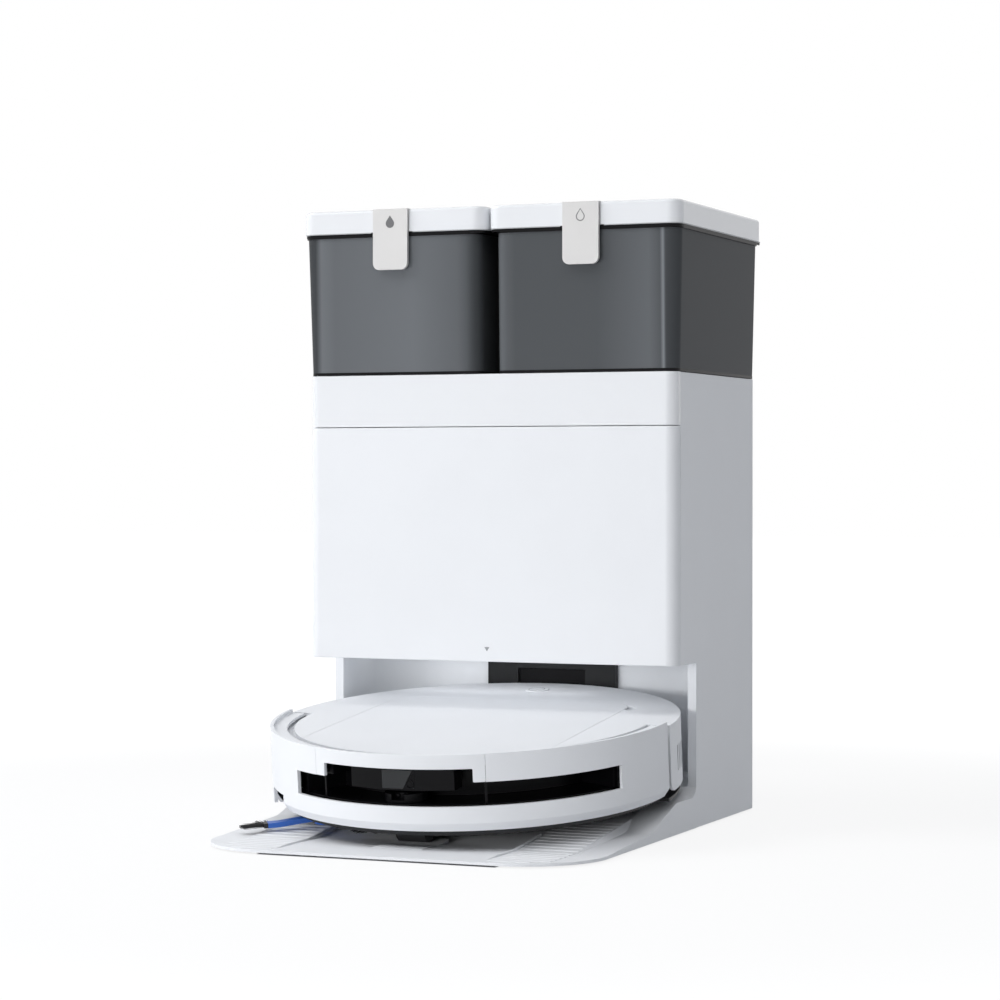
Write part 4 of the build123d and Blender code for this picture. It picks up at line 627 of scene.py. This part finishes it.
def lid_edges():
    """Grey strip of painted shade in the gap under the front and side edges of each lid, and a black seal
    below it, both open at the latch.
    """
    for side in ("dirty", "clean"):
        front_y = in_mm(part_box(side + "_lid"))[0].y
        latch_low, latch_high = (corner.x for corner in in_mm(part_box(side + "_latch")))
        back = in_mm(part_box(side + "_hinge_pin"))[0].y - LIP_CLEAR
        corners = NODES[side + "_lid"].data.vertices
        foot = min(v.co.z for v in corners if v.co.y < (front_y + LIP_W) * MM)
        # Grey copy of the lid's white plastic: painted shade for the gap under the lid's edge.
        grey = moulded(side + "_lip_painted_shade", (0.5, 0.51, 0.52), 0.5, 0.03, 2200, 0.05)
        strips = (("lip", "white_gloss", LIP_INSET, LIP_HEIGHTS, grey),
                  ("seal", "black_rim", SEAL_INSET, SEAL_HEIGHTS, None))
        for name, slot, inset, heights, material in strips:
            outer = hull_at(side + "_lid", foot, -inset)
            front = [p for p in outer if p[1] < front_y + LIP_CORNER]
            right = sorted((p for p in front if p[0] > latch_high), key=lambda p: p[0] + p[1])
            left = sorted((p for p in front if p[0] < latch_low), key=lambda p: p[1] - p[0])
            span = [foot / MM + z for z in heights]
            form = Form()
            for line, sign, start in ((right, -1, latch_high + LIP_CLEAR), (left, 1, latch_low - LIP_CLEAR)):
                path = [(start, front_y + inset)] + line + [(line[-1][0], back)]
                edge_strip(form, path, sign, LIP_W, span)
            form.piece(side + "_lid_" + name, slot, side + "_lid", material)


def ramp_z(y):
    """Height of the track's surface, in millimetres."""
    return LIP_Z + max(0.0, y - RAMP_FOOT_Y) * RAMP_SLOPE


def toe_x(y):
    """Half width of the base at its rounded toe."""
    return TOE_X + math.sqrt(max(0.0, TOE_R ** 2 - min(0.0, y - TOE_Y) ** 2))


def along_track(form, side, rows):
    """Bar that follows a wheel track through cross sections of X and rise, each at its Y."""
    rings = []
    for y, section in rows:
        rings.append(form.ring([(side * x, y, ramp_z(y) + rise) for x, rise in section], Matrix()))
    form.skin(rings)


def track_ribs():
    """Fine cross ribs on the two wheel tracks, for grip."""
    form = Form()
    for side in SIDES:
        for step in range(RIB_COUNT):
            y = TRACK_FRONT_Y + RIB_PITCH * step
            outer = min(TRACK_OUT_X, toe_x(y))
            if outer < TRACK_IN_X + RIB_SHORTEST:
                continue
            rings = []
            for x in (TRACK_IN_X, outer):
                section = [(side * x, y + a, ramp_z(y + a) + rise) for a, rise in RIB_SECTION]
                rings.append(form.ring(section, Matrix()))
            form.skin(rings)
    form.piece("track_ribs", "white_shell", "station")


def track_beds():
    """Slightly greyer copy of the track's white plastic between the ribs: painted shade between them."""
    low, high = BED_HEIGHTS
    form = Form()
    for side in SIDES:
        rows = []
        for step in range(BED_COUNT):
            y = TRACK_FRONT_Y + TRACK_STEP * step
            outer = min(TRACK_OUT_X, max(TRACK_IN_X + BED_NARROWEST, toe_x(y)))
            rows.append((y, [(TRACK_IN_X, low), (outer, low), (outer, high), (TRACK_IN_X, high)]))
        along_track(form, side, rows)
    # Painted shade: slightly darker white plastic laid between the ribs.
    rib_gap_shade = moulded("track_bed_painted_shade", (0.8, 0.81, 0.83), 0.7, 0.03, 2200, 0.05, Specular_IOR_Level=0.2)
    form.piece("track_beds", "white_shell", "station", rib_gap_shade)


def track_edges():
    """Low ridge along the inner side of each wheel track, rising from the toe."""
    form = Form()
    for side in SIDES:
        rows = []
        for step in range(RIDGE_COUNT):
            rise = RIDGE_H * min(1.0, step / RIDGE_RAMP_STEPS)
            section = [(RIDGE_FOOT[0], -RIDGE_SINK), (RIDGE_FOOT[1], -RIDGE_SINK), (RIDGE_TOP[1], rise),
                       (RIDGE_TOP[0], rise)]
            rows.append((RIDGE_FRONT_Y + TRACK_STEP * step, section))
        along_track(form, side, rows)
    form.piece("track_edges", "white_shell", "station")


def caster_plate():
    """Pale raised plate that the caster rolls up on."""
    form = Form()
    rings = []
    for line, rise in zip((CASTER_PLATE, grown(CASTER_PLATE, -CASTER_PLATE_SLANT)), CASTER_PLATE_HEIGHTS):
        rings.append(form.ring([(x, y, LIP_Z + rise) for x, y in line], Matrix()))
    form.skin(rings)
    form.piece("caster_plate", "white_shell", "station")


def beacon_pane():
    """Dark glass in the recess of the homing light."""
    low = in_mm(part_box("beacon_window"))[0]
    side = RECESS_HALF_W - PANE_GAP
    top = RECESS_H - PANE_GAP
    outline = [(-side, PANE_GAP), (side, PANE_GAP), (side, top), (-side, top)]
    form = Form()
    form.prism(outline, PANE_DEPTH, at(0, low.y + RECESS_BACK, low.z) @ FACING_FRONT, PANE_SLANT)
    form.piece("beacon_pane", "black_plastic", "station")


def sector(form, radii, angles, heights, steps):
    """Curved plate on the robot, between two radii, two bearings from its front and two heights."""
    inner, outer = radii
    low, high = heights
    corners = [(inner, low), (outer, low), (outer, high), (inner, high)]
    rings = []
    for k in range(steps + 1):
        angle = math.radians(angles[0] + (angles[1] - angles[0]) * k / steps)
        side, front = math.sin(angle), -math.cos(angle)
        rings.append(form.ring([(r * side, r * front, z) for r, z in corners], ROBOT))
    form.skin(rings)


def notch_lining():
    """Black wall and roof behind the bumper's notch over the side brush."""
    form = Form()
    sector(form, *NOTCH_WALL, NOTCH_STEPS)
    sector(form, *NOTCH_ROOF, NOTCH_STEPS)
    form.piece("notch_lining", "black_plastic", "bumper")


def charging_plates():
    """Two charging plates on the robot's back."""
    form = Form()
    for bearing in CHARGE_BEARINGS:
        angles = (bearing - CHARGE_HALF, bearing + CHARGE_HALF)
        sector(form, CHARGE_RADII, angles, CHARGE_HEIGHTS, CHARGE_STEPS)
    form.piece("charging_plates", "contact", "robot")


def lidar_lenses():
    """Two small glass domes in the lidar's notch."""
    form = Form()
    for sign in SIDES:
        form.lathe(LENS_DOME, LENS_STEPS, ROBOT @ at(sign * LENS_X, *LENS_PLACE) @ FACING_FRONT)
    form.piece("lidar_lenses", "black_plastic", "lidar_turret")


def camera_face():
    """Facet, glass and lens of the camera housing."""
    plane = ROBOT @ at(0, CAMERA_FACE_Y, 0) @ FACING_FRONT
    form = Form()
    form.prism(CAMERA_FACET, CAMERA_FACET_DEPTH, plane, CAMERA_FACET_SLANT)
    grey = moulded("camera_facet", (0.03, 0.032, 0.034), 0.35, 0.2, 1500, 0.05, Specular_IOR_Level=0.3)
    form.piece("camera_facet", "dark_grey", "robot", grey)
    form = Form()
    form.prism(CAMERA_PANE, CAMERA_PANE_DEPTH, plane, CAMERA_PANE_SLANT)
    form.lathe(CAMERA_LENS_RING, CAMERA_LENS_STEPS, plane @ at(*CAMERA_LENS_PLACE, 0))
    form.piece("camera_glass", "black_plastic", "robot")


def button_ring():
    """Fine ring on the start button."""
    form = Form()
    outer = circle(BUTTON_RING_R, BUTTON_RING_STEPS)
    form.frame(outer, grown(outer, -BUTTON_RING_W), BUTTON_RING_DEPTH, ROBOT @ at(*BUTTON_PLACE))
    ink = moulded("ring_ink", (0.4, 0.41, 0.42), 0.45, 0.05, 2600, 0.05)
    form.piece("button_ring", "white_shell", "start_button", ink)


def belly_details():
    """Screws and floor sensors under the robot."""
    form = Form()
    for place in SCREW_PLACES:
        form.lathe(SCREW, SCREW_STEPS, ROBOT @ at(*place, BELLY_Z) @ FACING_DOWN)
    form.piece("belly_screws", "steel", "robot")
    form = Form()
    for bearing in EYE_BEARINGS:
        angle = math.radians(bearing)
        place = (EYE_R * math.sin(angle), -EYE_R * math.cos(angle))
        form.lathe(EYE, EYE_STEPS, ROBOT @ at(*place, BELLY_Z) @ FACING_DOWN)
    form.piece("floor_sensors", "black_plastic", "robot")


def wheel_caps():
    """Ribbed cap on the outside of each drive wheel."""
    for side, sign in zip(("left", "right"), SIDES):
        centre = ROBOT @ at(sign * CAP_X, 0, CAP_Z) @ Matrix.Rotation(sign * math.pi / 2, 4, "Y")
        form = Form()
        form.lathe(CAP, CAP_STEPS, centre)
        for k in range(CAP_RIBS):
            turn = centre @ Matrix.Rotation(2 * math.pi * k / CAP_RIBS, 4, "Z")
            form.prism(CAP_RIB, CAP_RIB_DEPTH, turn, CAP_RIB_SLANT)
        form.piece("wheel_cap_" + side, "dark_grey", "drive_wheel_" + side)


def inflate(obj, cap):
    """Puff a closed fabric form up by a short cloth simulation, no point moving further than a cap."""
    rest = [v.co.copy() for v in obj.data.vertices]
    cloth = obj.modifiers.new("cloth", "CLOTH")
    cloth.settings.use_pressure = True
    cloth.settings.uniform_pressure_force = PRESSURE
    cloth.settings.effector_weights.gravity = 0
    scene = bpy.context.scene
    for step in range(CLOTH_STEPS):
        scene.frame_set(step + 1)
    shape = obj.evaluated_get(bpy.context.evaluated_depsgraph_get()).data
    moved = [v.co.copy() for v in shape.vertices]
    obj.modifiers.remove(cloth)
    scene.frame_set(1)
    for vertex, old, new in zip(obj.data.vertices, rest, moved):
        move = new - old
        vertex.co = old + move * min(1.0, cap / max(move.length, LEAST_MOVE))


def remeshed(obj, voxel):
    """Even mesh of small cells over a form, as cloth needs."""
    modifier = obj.modifiers.new("cells", "REMESH")
    modifier.mode = "VOXEL"
    modifier.voxel_size = voxel
    shape = bpy.data.meshes.new_from_object(obj.evaluated_get(bpy.context.evaluated_depsgraph_get()))
    obj.modifiers.remove(modifier)
    old = obj.data
    obj.data = shape
    bpy.data.meshes.remove(old)
    shape.shade_smooth()


def puffed(obj, voxel, cap):
    """Turn a rough form into soft, filled fabric."""
    remeshed(obj, voxel)
    inflate(obj, cap)
    soft = obj.modifiers.new("smooth", "SUBSURF")
    soft.levels = 1
    soft.render_levels = 1


def rounded_rectangle(half_w, half_h, radius, steps):
    """Anticlockwise outline with round corners."""
    line = []
    for k, (sx, sy) in enumerate(((1, 1), (-1, 1), (-1, -1), (1, -1))):
        for step in range(steps + 1):
            angle = math.pi / 2 * (k + step / steps)
            line.append((sx * (half_w - radius) + radius * math.cos(angle),
                         sy * (half_h - radius) + radius * math.sin(angle)))
    return line


def dust_bag():
    """Filled fabric bag with a flat sewn seam."""
    low, high = in_mm(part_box("dust_bag"))
    half = (high - low) / 2
    place = at(*((low + high) / 2)) @ FACING_FRONT
    front = [(-half.y + depth, inset) for depth, inset in BAG_LEVELS]
    back = [(-depth, inset) for depth, inset in reversed(front)]
    form = Form()
    rings = []
    for depth, inset in front + [(0, BAG_MIDDLE_INSET)] + back:
        line = rounded_rectangle(half.x - inset, half.z - inset, BAG_CORNER, CORNER_STEPS)
        rings.append(form.ring([(x, y, depth) for x, y in line], place))
    form.skin(rings)
    bag = form.piece("filled_dust_bag", "bag_cloth", "station")
    puffed(bag, BAG_CELL, BAG_PUFF)
    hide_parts("dust_bag")
    form = Form()
    outer = rounded_rectangle(half.x - SEAM_INSET, half.z - SEAM_INSET, SEAM_CORNER, CORNER_STEPS)
    form.frame(outer, grown(outer, -SEAM_W), SEAM_DEPTH, place)
    form.piece("dust_bag_seam", "bag_cloth", "station")


def mop_pads():
    """Round, soft pad under each mop holder."""
    for side, sign in zip(("left", "right"), SIDES):
        form = Form()
        form.lathe(PAD_PROFILE, PAD_STEPS, ROBOT @ at(sign * PAD_X, PAD_Y, PAD_Z))
        pad = form.piece("looped_mop_pad_" + side, "mop_cloth", "mop_" + side)
        puffed(pad, PAD_CELL, PAD_PUFF)
        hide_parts("mop_pad_" + side)


def strand_points(draw, reach):
    """Course of one strand, drawn along X from its root."""
    share = draw.uniform(-1, 1)
    layer = draw.uniform(*STRAND_LAYERS)
    length = reach * draw.uniform(STRAND_SHORTEST, 1.0) - STRAND_TAPER * abs(share)
    bend = draw.uniform(-STRAND_BEND, STRAND_BEND)
    points = []
    for k in range(len(STRAND_RADII)):
        t = k / (len(STRAND_RADII) - 1)
        side = share * (STRAND_ROOT_SPREAD + STRAND_TIP_SPREAD * t) + bend * t * t
        rise = BRISTLE_LOW_Z + BRISTLE_T * layer + (0.5 - layer) * STRAND_FALL * t
        points.append(((length + FAN_SINK) * t, side, rise))
    return points


def bristles():
    """Two fans of fine, slightly bent strands in a moulded root at the end of each arm."""
    draw = random.Random(STRAND_SEED)
    wide, narrow = ROOT_HALF_W
    inner, outer = ARM_L - ROOT_L, ARM_L + ROOT_OUT
    root = [(inner, -wide), (outer, -narrow), (outer, narrow), (inner, wide)]
    heights = (BRISTLE_LOW_Z + ROOT_INSET, BRISTLE_LOW_Z + BRISTLE_T - ROOT_INSET)
    form = Form()
    for arm in range(ARMS):
        turn = math.radians(ARM_ANGLE + 360 / ARMS * arm)
        place = ROBOT @ at(*HUB, 0) @ Matrix.Rotation(turn, 4, "Z")
        form.prism(root, heights, place, ROOT_SLANT)
        for fan, count, reach in FANS:
            tip = place @ at(ARM_L - FAN_SINK, 0, 0) @ Matrix.Rotation(math.radians(fan), 4, "Z")
            for _ in range(count):
                form.tube(strand_points(draw, reach), STRAND_RADII, STRAND_SIDES, tip)
    tufts = form.piece("brush_tufts", "bristle", "side_brush")
    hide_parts("side_brush_bristles")


def seen_directly(nodes, links):
    """One for camera, mirror and see-through rays, nothing for the light that falls on the object."""
    path = nodes.new("ShaderNodeLightPath")
    seen = path.outputs["Is Camera Ray"]
    for ray in ("Is Glossy Ray", "Is Transmission Ray"):
        either = nodes.new("ShaderNodeMath")
        either.operation = "MAXIMUM"
        links.new(seen, either.inputs[0])
        links.new(path.outputs[ray], either.inputs[1])
        seen = either.outputs["Value"]
    return seen


def studio():
    """Soft light from all round, dimmer from one side, and a white background."""
    world = bpy.data.worlds.new("studio")
    bpy.context.scene.world = world
    world.use_nodes = True
    nodes = world.node_tree.nodes
    links = world.node_tree.links
    light = nodes["Background"]
    light.inputs["Color"].default_value = WORLD_TINT
    way = nodes.new("ShaderNodeTexCoord")
    turn = nodes.new("ShaderNodeVectorMath")
    turn.operation = "DOT_PRODUCT"
    turn.inputs[1].default_value = DIM_SIDE
    links.new(way.outputs["Generated"], turn.inputs[0])
    dim = nodes.new("ShaderNodeMapRange")
    dim.inputs["From Min"].default_value = DIM_START
    dim.inputs["To Min"].default_value = WORLD_LIGHT
    dim.inputs["To Max"].default_value = WORLD_DIM
    links.new(turn.outputs["Value"], dim.inputs["Value"])
    links.new(dim.outputs["Result"], light.inputs["Strength"])
    white = nodes.new("ShaderNodeBackground")
    white.inputs["Color"].default_value = (1, 1, 1, 1)
    mix = nodes.new("ShaderNodeMixShader")
    links.new(seen_directly(nodes, links), mix.inputs["Fac"])
    links.new(light.outputs["Background"], mix.inputs[1])
    links.new(white.outputs["Background"], mix.inputs[2])
    links.new(mix.outputs["Shader"], nodes["World Output"].inputs["Surface"])


def area_light(name, place, target, size, power, mirrored):
    """Soft lamp of a width and a height that faces a point; gloss may show it or not."""
    lamp = bpy.data.lights.new(name, "AREA")
    lamp.shape = "RECTANGLE"
    lamp.size, lamp.size_y = size
    lamp.energy = power
    obj = bpy.data.objects.new(name, lamp)
    obj.location = place
    obj.rotation_euler = (Vector(target) - Vector(place)).to_track_quat("-Z", "Y").to_euler()
    obj.visible_glossy = mirrored
    obj.visible_camera = False
    bpy.context.scene.collection.objects.link(obj)


def stage_plane(name, corners, height, material):
    """Flat piece of the stage."""
    (x0, y0), (x1, y1) = corners
    mesh = bpy.data.meshes.new(name)
    points = [(x0, y0, height), (x1, y0, height), (x1, y1, height), (x0, y1, height)]
    mesh.from_pydata(points, [], [(0, 1, 2, 3)])
    mesh.materials.append(material)
    obj = bpy.data.objects.new(name, mesh)
    bpy.context.scene.collection.objects.link(obj)


def floor():
    """White floor that keeps a soft shadow and fades into the background, plain under the station."""
    material, nodes, links, bsdf = new_material("floor_white")
    bsdf.inputs["Base Color"].default_value = FLOOR_COLOUR
    bsdf.inputs["Roughness"].default_value = FLOOR_ROUGH
    bsdf.inputs["Specular IOR Level"].default_value = 0.0
    place = nodes.new("ShaderNodeTexCoord")
    reach = nodes.new("ShaderNodeVectorMath")
    reach.operation = "LENGTH"
    links.new(place.outputs["Object"], reach.inputs[0])
    fade = nodes.new("ShaderNodeMapRange")
    fade.interpolation_type = "SMOOTHSTEP"
    fade.inputs["From Min"].default_value = FLOOR_FADE[0]
    fade.inputs["From Max"].default_value = FLOOR_FADE[1]
    fade.inputs["To Min"].default_value = FLOOR_GLOW
    links.new(reach.outputs["Value"], fade.inputs["Value"])
    share = nodes.new("ShaderNodeMath")
    share.operation = "MULTIPLY"
    links.new(fade.outputs["Result"], share.inputs[0])
    links.new(seen_directly(nodes, links), share.inputs[1])
    glow = nodes.new("ShaderNodeEmission")
    glow.inputs["Strength"].default_value = FLOOR_WHITE
    mix = nodes.new("ShaderNodeMixShader")
    links.new(share.outputs["Value"], mix.inputs["Fac"])
    links.new(bsdf.outputs["BSDF"], mix.inputs[1])
    links.new(glow.outputs["Emission"], mix.inputs[2])
    links.new(mix.outputs["Shader"], nodes["Material Output"].inputs["Surface"])
    stage_plane("floor", FLOOR_CORNERS, 0, material)
    plain, _, _, bsdf = new_material("floor_plain")
    bsdf.inputs["Base Color"].default_value = FLOOR_COLOUR
    bsdf.inputs["Roughness"].default_value = FLOOR_ROUGH
    stage_plane("floor_under_station", STATION_PATCH, PATCH_RISE, plain)
    stage_plane("floor_under_lip", LIP_PATCH, PATCH_RISE, plain)


def camera():
    """Camera of the photograph."""
    data = bpy.data.cameras.new("camera")
    data.lens = CAMERA_LENS
    data.sensor_width = SENSOR_W
    obj = bpy.data.objects.new("camera", data)
    obj.location = CAMERA_PLACE
    obj.rotation_euler = (math.radians(90 + CAMERA_PITCH), 0, math.radians(CAMERA_YAW))
    bpy.context.scene.collection.objects.link(obj)
    bpy.context.scene.camera = obj


dress_nodes()
latch_marks()
cover_mark()
tank_gaskets()
lid_edges()
track_ribs()
track_beds()
track_edges()
caster_plate()
beacon_pane()
notch_lining()
charging_plates()
lidar_lenses()
camera_face()
button_ring()
belly_details()
wheel_caps()
dust_bag()
mop_pads()
bristles()
studio()
floor()
camera()
for lamp_name, lamp_row in LAMPS.items():
    area_light(lamp_name, *lamp_row)
bpy.context.scene.view_settings.view_transform = "Standard"
